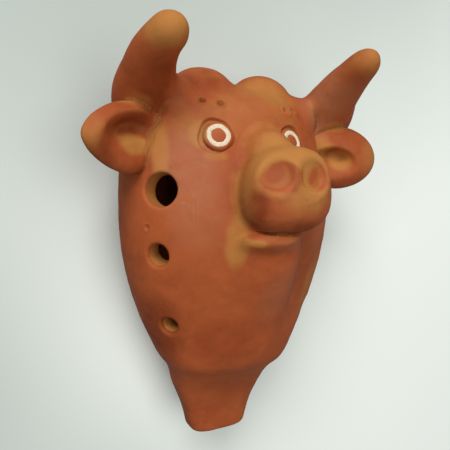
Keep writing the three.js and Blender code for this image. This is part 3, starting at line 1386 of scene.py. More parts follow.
@dataclass
class Rubbing:
    """Where the red slip is rubbed through to ochre, where it lies deep, and where it is dusty,
    with light, shade and sheen painted in places.
    """

    # Mostly slip rubbed through to ochre; two touches are painted light
    ochre: tuple[Touch, ...] = (
        Touch((0, 112, 18), (33, 19, 16), 0.36),
        Touch((9, 121, 8), (17, 10, 14), 0.62),
        Touch((-12, 126, 6), (11, 5, 9), 0.25),
        Touch((-2, 101, 35), (17, 14, 13), 0.75),
        Touch((3, 93, 40), (15, 15, 13), 0.6),
        Touch((-11, 90, 30), (5, 14, 9), 0.45),
        Touch((-8.0, 73.9, 34), (3.6, 1.6, 5), 0.6),
        # Painted light on the cheek at the muzzle's lower left side, laid on as ochre
        Touch((-11.6, 73, 28.5), (4.6, 13, 7), 0.72),
        Touch((-37, 132, 32), (13, 12, 15), 0.72),
        Touch((33, 133, 32), (12, 11, 13), 0.42),
        Touch((-3.4, 93.0, 38.4), (6.6, 5.8, 9), -2.0),
        Touch((8.6, 93.0, 37.4), (5.4, 5.6, 9), -0.9),
        Touch((-20.2, 104.5, 18), (4, 6, 5), 0.8),
        Touch((-16, 98.6, 21), (6, 2.6, 5), 0.5),
        Touch((-14.7, 103.3, 22), (3.4, 3.4, 4), -0.6),
        # Painted light on the bull's left horn, laid on as ochre
        Touch((30, 121, 17), (12, 14, 14), 0.3),
        Touch((-30.3, 100, 13), (3.6, 14, 9), 0.75),
        Touch((31.5, 100, 13), (5, 15, 9), 0.7),
        Touch((-24, 107, 15), (9, 8, 8), 0.35),
        Touch((-37.3, 101, 12), (8, 4.6, 6), 0.85),
        Touch((40.5, 100, 13), (7, 6.5, 6), 1.0),
        Touch((-52, 104, 17), (6, 9, 7), 0.3),
        Touch((50, 102, 17), (8, 11, 8), 0.45),
        Touch((-38, 113.5, 12), (8, 3.5, 5), 0.5),
        Touch((37.5, 112, 12), (7.5, 3.5, 5), 0.6),
        Touch((-24.5, 114.5, 9), (5, 6, 6), 0.5),
        Touch((25, 55, 17), (9, 24, 10), 0.5),
        Touch((6, 27, 14), (9, 6, 6), 0.25),
        Touch((7, 10, 4), (8, 14, 7), 0.2),
        Touch((0, 74, -23), (17, 30, 6), 0.45),
        Touch((0, 30, -16), (9, 12, 7), 0.35),
        Touch((0, 118, -13), (24, 10, 9), 0.35),
    )
    # Slip lying deep, and painted shade under and beside the muzzle, on the downward flanks, in the
    # ear and horn creases, on the horns' shaded sides and on the back that faces the table
    deep: tuple[Touch, ...] = (
        Touch((-33, 118, 22), (8, 10, 12), 0.7),
        Touch((34, 131, 26), (9, 9, 10), 0.15),
        Touch((-33, 113, 13), (7, 6, 8), 0.8),
        Touch((-40, 106.5, 10), (9, 5, 7), 0.9),
        Touch((40, 106, 10), (8, 4, 7), 0.6),
        Touch((-49, 97, 16), (7, 7, 8), 0.75),
        Touch((-15, 123, 7), (9, 7, 8), 0.5),
        Touch((-12, 83, 36), (6, 12, 10), 1.0),
        Touch((0, 78.5, 38), (15, 4.5, 7), 0.7),
        Touch((-28, 42, 8), (11, 19, 14), 1.0),
        Touch((-10, 40, 20), (15, 13, 11), 0.65),
        Touch((-9, 8, 0), (9, 12, 10), 0.4),
        Touch((0, 60, -24), (38, 60, 14), 0.25),
    )
    # Pale dust, and sheen painted where the light is reflected or falls brightest: on the cheek,
    # the bull's left horn, the chin panel and the lip
    dusty: tuple[Touch, ...] = (
        Touch((-24, 94, 19), (14, 20, 12), 0.9),
        Touch((-22, 80, 22), (13, 14, 12), 0.55),
        Touch((-6, 112, 19), (14, 9, 8), 0.25),
        Touch((29, 121, 18), (12, 15, 16), 1.0),
        Touch((30, 113, 10), (7, 9, 9), 0.7),
        Touch((4, 58, 29), (10, 16, 8), 0.5),
        Touch((-3, 91, 38), (7, 7, 6), 0.3),
        Touch((2, 73.5, 35), (9, 3, 5), 0.5),
        Touch((24, 78, 22), (10, 16, 10), 0.4),
        Touch((-12, 60, -23), (12, 24, 6), 0.6),
    )
    # Where a touch below 0 keeps the ochre off, the slip is taken a little past whole
    kept: float = 1.12

    def marks(self, places: Points) -> dict[str, Points]:
        """How much ochre, deep slip and dust there is, with the light, shade and sheen painted in
        them.

        Args:
            places: where it is wanted.

        Returns:
            A number for each place, by the mark's name.
        """
        kinds = {"ochre": self.ochre, "deep": self.deep, "dusty": self.dusty}
        marks = {}
        for name, touches in kinds.items():
            bare = np.ones(len(places))
            for touch in touches:
                rubbed = touch.on(places)
                bare *= 1 - np.maximum(rubbed, 0)
                bare = mix(bare, self.kept, np.clip(-rubbed, 0, 1))
            marks[name] = 1 - bare
        return marks


@dataclass
class Bench:
    """Where the forms are luted, cut apart again and set into the row frame."""

    head: HeadForm
    horns: dict[Side, HornRoll]
    ears: dict[Side, EarLeaf]
    muzzle: Muzzle
    eyes: EyeSet
    rubbing: Rubbing
    grain: float = 0.52
    low: Vector = field(default_factory=Vector)
    high: Vector = field(default_factory=Vector)
    feel: float = 7.0
    # How far below the skin the cut between the head and what is set on it runs
    core_below: float = 0.7
    # How far each form's region is grown, so that it takes in the clay round its joint
    take: tuple[float, float, float, float, float] = (2.6, 1.6, 1.4, 2.6, 1.0)
    sharp_edge: float = 38.0
    pricks: tuple[Prick, ...] = (
        Prick(-17.5, 115.4, 0.75, 1.7),
        Prick(-12.5, 114.7, 0.8, 1.8),
        Prick(12.4, 114.9, 1.0, 1.3),
        Prick(16.9, 115.5, 1.0, 1.3),
        Prick(-33.6, 76.6, 0.7, 0.45, dark=False),
        Prick(33.9, 71.2, 0.5, 0.3, dark=False),
    )
    joints: tuple[Joint, ...] = (
        Joint("head", "tufts", 5.0, 5.0),
        Joint("head", "left_horn", 0.9, 5.5, 115.0, 121.0, scored=0.9, scored_to=121.0),
        Joint("head", "right_horn", 0.9, 5.5, 110.0, 119.0, scored=0.9, scored_to=117.0),
        Joint("tufts", "left_horn", 1.0, 5.5, 116.0, 122.0, scored=0.8, scored_to=120.0),
        Joint("tufts", "right_horn", 1.0, 6.0, 111.0, 119.0, scored=0.7, scored_to=117.0),
        Joint("head", "left_ear", 0.9, 0.9, scored=0.8),
        Joint("head", "right_ear", 0.9, 0.9, scored=0.85),
        Joint("left_ear", "left_horn", 0.9, 0.9, scored=0.8),
        Joint("right_ear", "right_horn", 0.9, 0.9, scored=0.8),
        Joint("head", "pad", 1.4, 5.0, 80.0, 102.0),
        Joint("head", "bridge", 7.0, 7.0),
        Joint("pad", "bridge", 6.0, 6.0),
        Joint("head", "lip", 6.5, 0.6, 72.0, 75.5),
        Joint("lip", "pad", 0.4, 0.4, scored=1.6),
        Joint("head", "holes", 0.6, 0.6),
    )

    def to_row(self) -> Matrix:
        """From the whistle's own frame, in millimetres, to the row frame in metres.

        Returns:
            The matrix.
        """
        beak_low, beak_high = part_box("mouthpiece")
        back_low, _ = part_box("back_shell")
        middle = (beak_low.x + beak_high.x) / 2
        shift = Vector((middle, beak_low.y, back_low.z - 0.001 * self.head.rest))
        return Matrix.Translation(shift) @ Matrix.Diagonal((0.001, 0.001, 0.001, 1))

    def forms(self) -> dict[str, list[Form]]:
        """Every form that is set on the head.

        Returns:
            The forms by name, as the joints call them.
        """
        made = {"tufts": self.head.tufts()}
        for side in Side:
            made[f"{side.word}_horn"] = [self.horns[side].form(self.head)]
            made[f"{side.word}_ear"] = [self.ears[side].form(self.head)]
        made["pad"] = [self.muzzle.pad(self.head)]
        made["bridge"] = [self.muzzle.bridge(self.head)]
        made["lip"] = [self.muzzle.lip(self.head)]
        return made

    def lute(self) -> Skin:
        """Bores the head, sets every form on it and makes one skin of them.

        Returns:
            The skin, with its joints smoothed over and scored.
        """
        made = self.forms()
        others = [form for forms in made.values() for form in forms]
        made["head"] = [self.head.skin()]
        made["holes"] = self.head.finger_holes()
        body = piece_from("clay", *made["head"])
        for hole in made["holes"]:
            work_in(body, hole, Joining.CUT)
        clay = piece_from("clay", form_from(body), *others)
        modifier = clay.modifiers.new("one skin", "REMESH")
        modifier.mode = "VOXEL"
        modifier.voxel_size = self.grain
        settle(clay)
        skin = Skin(clay.data.copy())
        discard(clay)
        log.info("luted the forms: %d points", len(skin.places))
        skin.places = skin.smooth(skin.places, skin.whole, 4)
        weights, scored = self.joint_weights(skin.places, made)
        skin.places = skin.smooth(skin.places, weights, 60)
        move_to(skin.mesh, skin.places)
        skin.places = skin.places - normals_of(skin.mesh) * scored[:, None]
        skin.places = skin.smooth(skin.places, skin.whole, 2)
        for forms in made.values():
            for form in forms:
                form.free()
        return skin

    def joint_weights(
        self, places: Points, made: dict[str, list[Form]]
    ) -> tuple[Points, Points]:
        """How much each point is smoothed and scored, from how near it is to a joint.

        Args:
            places: the skin's points.
            made: the forms by name.

        Returns:
            A weight from 0 to 1, and the depth of the scored line, for each point.
        """
        far = {}
        for name, forms in made.items():
            trees = [BVHTree.FromBMesh(form) for form in forms]
            away = np.full(len(places), self.feel)
            if name == "head":
                near = self.near_others(places, made)
            else:
                near = in_reach(places, forms, self.feel)
            for index in np.flatnonzero(near):
                point = Vector(places[index])
                for tree in trees:
                    found = tree.find_nearest(point, self.feel)
                    if found[0] is not None:
                        away[index] = min(away[index], found[3])
            far[name] = away
        weights = np.zeros(len(places))
        scored = np.zeros(len(places))
        for joint in self.joints:
            apart = np.maximum(far[joint.first], far[joint.second])
            soft = joint.reach(places[:, 1])
            weights = np.maximum(weights, 1 - smooth_step(apart / soft, 0.25, 1.0))
            scored = np.maximum(scored, joint.line(apart, places[:, 1]))
        return weights, scored

    def near_others(self, places: Points, made: dict[str, list[Form]]) -> Points:
        """Which points lie near any form but the head.

        Args:
            places: the skin's points.
            made: the forms by name.

        Returns:
            Whether each point does.
        """
        near = np.zeros(len(places), bool)
        for name, forms in made.items():
            for form in forms if name != "head" else ():
                near |= in_reach(places, [form], self.feel)
        return near

    def refine(self, skin: Skin) -> Skin:
        """Gives the skin finer points where small marks are pressed into it.

        Args:
            skin: the skin, which is used up.

        Returns:
            The finer skin.
        """
        form = bmesh.new()
        move_to(skin.mesh, skin.places)
        form.from_mesh(skin.mesh)
        spots = [(*self.eyes.seat(self.head, side), 7.6) for side in Side]
        for prick in self.pricks:
            spots.append((*self.spot(skin, prick), 3.4 * prick.radius))
        for wider in (1.2, 0.0):
            centres = np.array([vert.co for vert in form.verts])
            wanted = np.zeros(len(centres), bool)
            for foot, _, reach in spots:
                wanted |= np.linalg.norm(centres - foot, axis=1) < reach + wider
            form.verts.ensure_lookup_table()
            chosen = {form.verts[index] for index in np.flatnonzero(wanted)}
            edges = [edge for edge in form.edges if set(edge.verts) <= chosen]
            bmesh.ops.subdivide_edges(form, edges=edges, cuts=1, use_grid_fill=True)
        mesh = bpy.data.meshes.new("skin")
        form.to_mesh(mesh)
        form.free()
        bpy.data.meshes.remove(skin.mesh)
        return Skin(mesh)

    def spot(self, skin: Skin, prick: Prick) -> tuple[Points, Points]:
        """Where a prick goes into the face.

        Args:
            skin: the skin.
            prick: the prick.

        Returns:
            The skin's nearest point, and the way the prick goes.
        """
        degrees = np.linspace(20, 160, 561)
        line = self.head.surface(prick.y, np.radians(degrees))
        nearest = int(np.argmin(np.abs(line[:, 0] - prick.x)))
        side = Side.LEFT if prick.x > 0 else Side.RIGHT
        turn = degrees[nearest] if side is Side.LEFT else 180 - degrees[nearest]
        foot, normal = self.head.flank(prick.y, float(turn), side)
        away = np.linalg.norm(skin.places - foot, axis=1)
        return skin.places[int(np.argmin(away))], normal

    def mark(self, skin: Skin) -> Skin:
        """Presses the sockets and pricks in, and leaves the surface as hands do.

        Args:
            skin: the skin.

        Returns:
            The same skin.
        """
        places = skin.places
        steady = np.ones(len(places))
        moved = np.zeros(len(places))
        for side in Side:
            foot, normal = self.eyes.seat(self.head, side)
            away = places - foot
            height = away @ normal
            outwards = unit(np.cross([0.0, 1.0, 0.0], normal)) * side.value
            out, up = away @ outwards, away @ np.cross(normal, outwards) * side.value
            spread = np.hypot(out, up)
            near = np.abs(height) < 4
            moved -= np.where(near & (spread < 8.5), self.eyes.dish(out, up), 0)
            steady *= np.where(near, smooth_step(spread, 6, 10), 1)
        for prick in self.pricks:
            foot, _ = self.spot(skin, prick)
            moved += prick.press_in(np.linalg.norm(places - foot, axis=1))
        moved += steady * (
            0.16 * Wander(seed=3, length=26).at(places)
            + 0.05 * Wander(seed=8, length=8).at(places)
        )
        moved += 0.018 * Wander(seed=21, length=2.6, count=40).at(places)
        places = places + normals_of(skin.mesh) * moved[:, None]
        places[:, 2] = np.maximum(places[:, 2], self.head.rest)
        skin.places = places
        move_to(skin.mesh, places)
        return skin

    def regions(self) -> dict[str, list[Form]]:
        """The forms set on the head, grown so that they take in the clay round their joints.

        Returns:
            The forms of each piece, by its node.
        """
        horn, ear, pad, bridge, lip = self.take
        grown = {
            f"{side.word}_horn": [self.horns[side].form(self.head, horn)] for side in Side
        }
        for side in Side:
            grown[f"{side.word}_ear"] = [self.ears[side].form(self.head, ear)]
        grown["muzzle"] = [self.muzzle.pad(self.head, pad), self.muzzle.bridge(self.head, bridge)]
        grown["lower_lip"] = [self.muzzle.lip(self.head, lip)]
        return grown

    def part(self, skin: Skin) -> dict[str, Piece]:
        """Hollows the clay and cuts it apart.

        Args:
            skin: the skin.

        Returns:
            The pieces, each closed, by node.
        """
        rest = lay_out("rest", skin.mesh.copy())
        for form in (self.head.chamber(), self.head.windway(), self.head.sound_window()):
            work_in(rest, form, Joining.CUT)
        core = piece_from("core", self.head.skin(growth=-self.core_below, around=88, step=2.2))
        for tuft in self.head.tufts(-self.core_below):
            work_in(core, tuft, Joining.ADD)
        far = 3 * self.head.crown
        pieces = {}
        for name, (first, *more) in self.regions().items():
            region = piece_from("region", first)
            for form in more:
                work_in(region, form, Joining.ADD)
            set_in(region, core, Joining.CUT)
            pieces[name] = self.cut_off(rest, region, name)
        beak = box_form((-far, -far, -far), (far, self.head.beak_length, far))
        pieces["mouthpiece"] = self.cut_off(rest, piece_from("beak", beak), "mouthpiece")
        front = box_form((-far, -far, 0), (far, far, far))
        pieces["face_shell"] = self.cut_off(rest, piece_from("front", front), "face_shell")
        pieces["back_shell"] = rest
        discard(core)
        return pieces

    @staticmethod
    def cut_off(rest: Piece, region: Piece, name: str) -> Piece:
        """Cuts what a region holds off the rest of the clay.

        Args:
            rest: the rest, which loses it.
            region: the region, which is used up.
            name: the new piece's name.

        Returns:
            The new piece.
        """
        piece = set_in(copy_of(rest, name), region, Joining.KEEP)
        set_in(rest, region, Joining.CUT)
        discard(region)
        return piece

    def finish(self, pieces: dict[str, Piece], skin: Skin) -> None:
        """Shades each piece as the whole skin is shaded and gives it its marks.

        Args:
            pieces: the cut pieces by the node each stands for.
            skin: the whole skin before it was cut.
        """
        tree = kdtree.KDTree(len(skin.places))
        for index, place in enumerate(skin.places):
            tree.insert(place, index)
        tree.balance()
        normals = normals_of(skin.mesh)
        hollow = skin.hollows()
        # Shade is painted into the pricked holes through the hollow mark
        for prick in self.pricks:
            foot, _ = self.spot(skin, prick)
            away = np.linalg.norm(skin.places - foot, axis=1) / prick.radius
            hollow = hollow + prick.dark * 2.2 * (1 - smooth_step(away, 0.5, 1.2))
        seats = self.head.hole_seats()
        for name, piece in pieces.items():
            mesh = piece.data
            places = places_of(mesh)
            looks = np.empty((len(places), 3))
            depth = np.empty(len(places))
            away = np.empty(len(places))
            for index, place in enumerate(places):
                found = tree.find_n(place, 3)
                rows = [entry[1] for entry in found]
                gaps = np.array([entry[2] for entry in found])
                shares = 1 / (gaps + 1e-5)
                shares /= shares.sum()
                looks[index] = shares @ normals[rows]
                depth[index] = shares @ hollow[rows]
                away[index] = gaps[0]
            self.shade(mesh, unit(looks), away < 0.45)
            marks = self.rubbing.marks(places)
            for width, foot, normal in seats:
                up = (places - foot) @ normal
                out = np.linalg.norm(places - foot - up[:, None] * normal, axis=1)
                bore = (up > -2 * self.head.wall) & (out < 0.5 * width + 1.2)
                bore = bore * smooth_step(-up, 1.1, 1.9)
                marks["ochre"] = np.maximum(marks["ochre"], 0.9 * bore)
            marks["hollow"] = np.where(away < 1.2, depth, 0.0)
            write_marks(mesh, marks)
            log.info("%s: %d points", name, len(places))

    def shade(self, mesh: bpy.types.Mesh, looks: Points, on_skin: Points) -> None:
        """Keeps the shading of the uncut skin along a piece's cut edges.

        Args:
            mesh: the piece's mesh.
            looks: the uncut skin's normal at each point.
            on_skin: whether each point lies on the skin.
        """
        mesh.shade_smooth()
        mesh.set_sharp_from_angle(angle=math.radians(self.sharp_edge))
        corners = rows_of(mesh.corner_normals, "vector")
        verts = whole_numbers_of(mesh.loops, "vertex_index")
        totals = whole_numbers_of(mesh.polygons, "loop_total")
        flat = np.repeat(rows_of(mesh.polygons, "normal"), totals, axis=0)
        same = on_skin[verts] & ((flat * looks[verts]).sum(axis=1) > 0.75)
        corners[same] = looks[verts][same]
        mesh.normals_split_custom_set(unit(corners).tolist())

    def set_down(self, piece: Piece, node: str, paint: bpy.types.Material) -> None:
        """Moves a finished piece into the row frame, where it stands for its node.

        Args:
            piece: the piece, still in millimetres.
            node: the node it stands for.
            paint: the piece's material.
        """
        piece.data.materials.clear()
        piece.data.materials.append(paint)
        piece.data.transform(self.to_row())
        places = np.clip(places_of(piece.data), self.low, self.high)
        move_to(piece.data, places)
        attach(piece, "root")
        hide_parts(node)


@dataclass
class NodeTree:
    """A node tree, with short ways to add and join its nodes."""

    tree: bpy.types.NodeTree

    def add(self, kind: str, **settings: object) -> bpy.types.Node:
        """A new node.

        Args:
            kind: its type.
            settings: its own settings.

        Returns:
            The node.
        """
        node = self.tree.nodes.new(kind)
        for name, value in settings.items():
            setattr(node, name, value)
        return node

    def feed(self, target: Socket, source: object) -> None:
        """Joins a socket to a target, or sets the target's own value.

        Args:
            target: the input.
            source: a socket, or a value.
        """
        if isinstance(source, bpy.types.NodeSocket):
            self.tree.links.new(source, target)
        else:
            target.default_value = source

    def fed(self, node: bpy.types.Node, *values: object) -> bpy.types.Node:
        """Feeds a node's first inputs.

        Args:
            node: the node.
            values: a socket or a value for each input in turn.

        Returns:
            The same node.
        """
        for target, value in zip(node.inputs, values):
            self.feed(target, value)
        return node

    def maths(self, operation: str, *values: object, clamp: bool = False) -> Socket:
        """The result of a sum."""
        node = self.add("ShaderNodeMath", operation=operation, use_clamp=clamp)
        return self.fed(node, *values).outputs[0]

    def plus(self, first: object, second: object, clamp: bool = False) -> Socket:
        """One value plus another, between 0 and 1 where it is clamped."""
        return self.maths("ADD", first, second, clamp=clamp)

    def times(self, first: object, second: object) -> Socket:
        """One value times another."""
        return self.maths("MULTIPLY", first, second)

    def vector(self, operation: str, *values: object) -> bpy.types.Node:
        """A node that works with vectors."""
        return self.fed(self.add("ShaderNodeVectorMath", operation=operation), *values)

    def blend(self, share: object, first: object, second: object) -> Socket:
        """A mix of two colours.

        Args:
            share: how much of the second it has.
            first: a colour.
            second: a colour.

        Returns:
            The mixed colour.
        """
        node = self.add("ShaderNodeMix", data_type="RGBA")
        for index, value in ((0, share), (6, first), (7, second)):
            self.feed(node.inputs[index], value)
        return node.outputs[2]

    def mix_shaders(self, share: Socket, first: Socket, second: Socket) -> Socket:
        """A mix of two shaders."""
        return self.fed(self.add("ShaderNodeMixShader"), share, first, second).outputs[0]

    def span(
        self, value: object, low: float, high: float, start: float = 0.0, end: float = 1.0
    ) -> Socket:
        """A value taken smoothly from one range to another."""
        node = self.add("ShaderNodeMapRange", interpolation_type="SMOOTHSTEP", clamp=True)
        return self.fed(node, value, low, high, start, end).outputs[0]

    def noise(
        self, where: Socket, scale: object, detail: float = 3.0, rough: float = 0.5
    ) -> Socket:
        """Cloudy noise.

        Args:
            where: the place.
            scale: how fine it is, in clouds to the metre.
            detail: how many finer layers it has.
            rough: how strong these are.

        Returns:
            The noise.
        """
        node = self.add("ShaderNodeTexNoise")
        self.feed(node.inputs["Vector"], where)
        self.feed(node.inputs["Scale"], scale)
        node.inputs["Detail"].default_value = detail
        node.inputs["Roughness"].default_value = rough
        return node.outputs["Fac"]

    def stretched(self, where: Socket, scale: Triple, turn: Triple) -> Socket:
        """The same place in a turned and stretched pattern.

        Args:
            where: the place.
            scale: how far the pattern is pressed together each way.
            turn: how it is turned.

        Returns:
            The place in the pattern.
        """
        node = self.add("ShaderNodeMapping", vector_type="POINT")
        self.feed(node.inputs["Vector"], where)
        node.inputs["Rotation"].default_value = turn
        node.inputs["Scale"].default_value = scale
        return node.outputs[0]

    def surface(
        self, colour: Socket, rough: Socket, height: Socket, strength: float, relief: float
    ) -> bpy.types.Node:
        """A shader with a bump, joined to the output.

        Args:
            colour: its colour.
            rough: its roughness.
            height: its height.
            strength: the bump's strength.
            relief: how high the height stands, in metres.

        Returns:
            The shader.
        """
        shader = self.add("ShaderNodeBsdfPrincipled")
        bump = self.add("ShaderNodeBump")
        bump.inputs["Strength"].default_value = strength
        bump.inputs["Distance"].default_value = relief
        self.feed(bump.inputs["Height"], height)
        self.feed(shader.inputs["Base Color"], colour)
        self.feed(shader.inputs["Roughness"], rough)
        self.feed(shader.inputs["Normal"], bump.outputs[0])
        self.fed(self.add("ShaderNodeOutputMaterial"), shader.outputs[0])
        return shader


def new_material(name: str) -> tuple[bpy.types.Material, NodeTree, Socket]:
    """A material with nothing in it yet.

    Args:
        name: its name.

    Returns:
        The material, its nodes, and the place that its patterns read.
    """
    made = bpy.data.materials.new(name)
    made.use_nodes = True
    made.node_tree.nodes.clear()
    tree = NodeTree(made.node_tree)
    return made, tree, tree.add("ShaderNodeTexCoord").outputs["Object"]


class Effect(Enum):
    """The shared effects, each a node group of its own."""

    MOTTLE = "fired mottle"
    RUB = "slip rubbed through"
    GRAIN = "clay grain"
    SCRATCH = "hair scratches"


class Effects:
    """Builds each shared effect once and places it in the materials."""

    def __init__(self) -> None:
        """Builds the groups."""
        self.groups = {
            Effect.MOTTLE: self.mottle(),
            Effect.RUB: self.rub(),
            Effect.GRAIN: self.grain(),
            Effect.SCRATCH: self.scratch(),
        }

    @staticmethod
    def blank(
        effect: Effect, takes: dict[str, object], values: str = "", colours: str = ""
    ) -> tuple[NodeTree, dict[str, Socket], dict[str, Socket]]:
        """An empty group with its sockets.

        Args:
            effect: which effect it is.
            takes: the inputs, with a default number, colour or None for a vector.
            values: the names of the outputs that are numbers.
            colours: the names of the outputs that are colours.

        Returns:
            The tree, its inputs' sockets and its outputs' sockets, by name.
        """
        group = bpy.data.node_groups.new(effect.value, "ShaderNodeTree")
        kinds = {float: "NodeSocketFloat", tuple: "NodeSocketColor", type(None): "NodeSocketVector"}
        for name, default in takes.items():
            kind = kinds[type(default)]
            socket = group.interface.new_socket(name, in_out="INPUT", socket_type=kind)
            if default is not None:
                socket.default_value = default
        for names, kind in ((colours, kinds[tuple]), (values, kinds[float])):
            for name in names.split():
                group.interface.new_socket(name, in_out="OUTPUT", socket_type=kind)
        tree = NodeTree(group)
        start, end = tree.add("NodeGroupInput"), tree.add("NodeGroupOutput")
        return tree, {s.name: s for s in start.outputs}, {s.name: s for s in end.inputs}

    def place(self, tree: NodeTree, effect: Effect, **values: object) -> dict[str, Socket]:
        """Places an effect in a material.

        Args:
            tree: the material's nodes.
            effect: the effect.
            values: its inputs, by name.

        Returns:
            Its outputs, by name.
        """
        node = tree.add("ShaderNodeGroup", node_tree=self.groups[effect])
        for name, value in values.items():
            tree.feed(node.inputs[name], value)
        return {socket.name: socket for socket in node.outputs}

    def mottle(self) -> bpy.types.NodeTree:
        """Clouds of lighter and darker clay, wide and small.

        Returns:
            The group.
        """
        takes = {"Where": None, "Scale": 1.0}
        tree, takes, gives = self.blank(Effect.MOTTLE, takes, values="Wide Small")
        warp = tree.add("ShaderNodeTexNoise")
        tree.feed(warp.inputs["Vector"], takes["Where"])
        warp.inputs["Scale"].default_value = 70.0
        bend = (0.012, 0.012, 0.012)
        bent = tree.vector("MULTIPLY_ADD", warp.outputs["Color"], bend, takes["Where"]).outputs[0]
        wide = tree.noise(bent, tree.times(takes["Scale"], 52.0), 4.0, 0.55)
        small = tree.noise(bent, tree.times(takes["Scale"], 260.0), 5.0, 0.62)
        tree.feed(gives["Wide"], tree.span(wide, 0.36, 0.66))
        tree.feed(gives["Small"], tree.span(small, 0.34, 0.68))
        return tree.tree

    def rub(self) -> bpy.types.NodeTree:
        """Colour where the slip is rubbed through, with a broken edge.

        Returns:
            The group.
        """
        takes = {"Where": None, "Colour": (0.4, 0.1, 0.03, 1.0), "Under": (0.5, 0.2, 0.06, 1.0)}
        takes |= {"Amount": 0.0, "Break": 0.5}
        tree, takes, gives = self.blank(Effect.RUB, takes, values="Mask", colours="Colour")
        ragged = tree.noise(takes["Where"], 190.0, 5.0, 0.6)
        swing = tree.times(tree.maths("SUBTRACT", ragged, 0.5), takes["Break"])
        edge = tree.plus(takes["Amount"], tree.times(swing, 2.0))
        faint = tree.maths("MINIMUM", takes["Amount"], 1.0)
        mask = tree.times(tree.span(edge, 0.05, 0.95), tree.span(faint, 0.0, 0.3))
        tree.feed(gives["Colour"], tree.blend(mask, takes["Colour"], takes["Under"]))
        tree.feed(gives["Mask"], mask)
        return tree.tree

    def grain(self) -> bpy.types.NodeTree:
        """Height of the fired surface: fine grain, soft dabs and a few open pores.

        Returns:
            The group.
        """
        takes = {"Where": None, "Pores": 0.5, "Dabs": 0.5}
        tree, takes, gives = self.blank(Effect.GRAIN, takes, values="Height Pore")
        where = takes["Where"]
        fine = tree.noise(where, 1500.0, 3.0, 0.6)
        dabs = tree.noise(tree.stretched(where, (1.0, 2.2, 1.4), (0.2, 0.1, 0.5)), 330.0, 3.0, 0.5)
        cells = tree.add("ShaderNodeTexVoronoi", feature="F1")
        tree.feed(cells.inputs["Vector"], where)
        cells.inputs["Scale"].default_value = 420.0
        rare = tree.noise(where, 140.0, 2.0, 0.5)
        pit = tree.span(cells.outputs["Distance"], 0.0, 0.2, 1.0, 0.0)
        pore = tree.times(pit, tree.span(rare, 0.55, 0.68))
        pore = tree.times(pore, takes["Pores"])
        height = tree.plus(tree.times(fine, 0.22), tree.times(dabs, takes["Dabs"]))
        tree.feed(gives["Height"], tree.maths("SUBTRACT", height, pore))
        tree.feed(gives["Pore"], pore)
        return tree.tree

    def scratch(self) -> bpy.types.NodeTree:
        """Long fine lines, as a burnishing stone or a table leaves them.

        Returns:
            The group.
        """
        takes = {"Where": None, "Amount": 0.5}
        tree, takes, gives = self.blank(Effect.SCRATCH, takes, values="Line")
        lines = []
        for scale, turn in (
            ((60.0, 1400.0, 500.0), (0.3, 0.2, 0.35)),
            ((1300.0, 50.0, 420.0), (0.1, 0.5, 0.6)),
        ):
            stretched = tree.noise(tree.stretched(takes["Where"], scale, turn), 1.0, 2.0, 0.5)
            lines.append(tree.span(stretched, 0.66, 0.74))
        rare = tree.span(tree.noise(takes["Where"], 95.0, 2.0, 0.5), 0.5, 0.62)
        both = tree.maths("MAXIMUM", lines[0], tree.times(lines[1], 0.6))
        tree.feed(gives["Line"], tree.times(tree.times(both, rare), takes["Amount"]))
        return tree.tree


@dataclass(frozen=True)
class ClayFinish:
    """Fired clay under a thin burnished slip, rubbed through to ochre in places, with shade and
    sheen painted in.
    """

    name: str
    slip: Triple
    # The darker slip, also the colour of the painted shade
    slip_dark: Triple
    under: Triple
    # The pale colour of dust and of painted sheen
    dust: Triple
    bare: float
    roughness: float
    sheen: float = 0.14
    # The dark colour of the shade painted into creases, pricked holes and pores
    soot: Triple = (0.09, 0.022, 0.008)

    def material(self, effects: Effects) -> bpy.types.Material:
        """The finish as a material.

        Args:
            effects: the shared effects.

        Returns:
            The material.
        """
        made, tree, where = new_material(self.name)
        ochre, deep, dusty, hollow = (
            tree.add("ShaderNodeAttribute", attribute_name=name).outputs["Fac"]
            for name in ("ochre", "deep", "dusty", "hollow")
        )
        mottle = effects.place(tree, Effect.MOTTLE, Where=where)
        share = tree.plus(tree.times(mottle["Wide"], 0.3), tree.times(mottle["Small"], 0.2))
        # Deep slip and painted shade darken the slip alike
        share = tree.plus(share, tree.times(deep, 0.75), clamp=True)
        colour = tree.blend(share, (*self.slip, 1), (*self.slip_dark, 1))
        ridge = tree.span(hollow, -0.12, -0.75)
        crease = tree.span(hollow, 0.12, 0.7)
        amount = tree.plus(ochre, tree.times(ridge, 0.25))
        amount = tree.plus(tree.plus(amount, tree.times(crease, 0.3)), self.bare)
        given = {"Where": where, "Colour": colour, "Under": (*self.under, 1), "Amount": amount}
        rub = effects.place(tree, Effect.RUB, **given, Break=0.3)
        grain = effects.place(tree, Effect.GRAIN, Where=where, Pores=0.8, Dabs=0.42)
        amount = tree.plus(dusty, 0.12, clamp=True)
        lines = effects.place(tree, Effect.SCRATCH, Where=where, Amount=amount)["Line"]
        # Pale where dust lies and where sheen is painted, and along the scratch lines
        pale = tree.times(dusty, tree.span(mottle["Small"], 0.0, 1.0, 0.24, 0.44))
        pale = tree.plus(pale, tree.times(lines, 0.4), clamp=True)
        colour = tree.blend(pale, rub["Colour"], (*self.dust, 1))
        # Shade painted dark into creases, pricked holes and pores
        crease_and_pore_shade = tree.span(hollow, 0.35, 1.5, 0.0, 0.5)
        crease_and_pore_shade = tree.plus(crease_and_pore_shade, tree.times(grain["Pore"], 0.5), clamp=True)
        colour = tree.blend(crease_and_pore_shade, colour, (*self.soot, 1))
        rough = tree.plus(tree.times(rub["Mask"], 0.16), self.roughness)
        rough = tree.plus(rough, tree.times(mottle["Small"], 0.07))
        height = tree.maths("SUBTRACT", grain["Height"], tree.times(lines, 0.25))
        shader = tree.surface(colour, rough, height, strength=0.55, relief=0.00016)
        shader.inputs["Specular IOR Level"].default_value = self.sheen
        return made


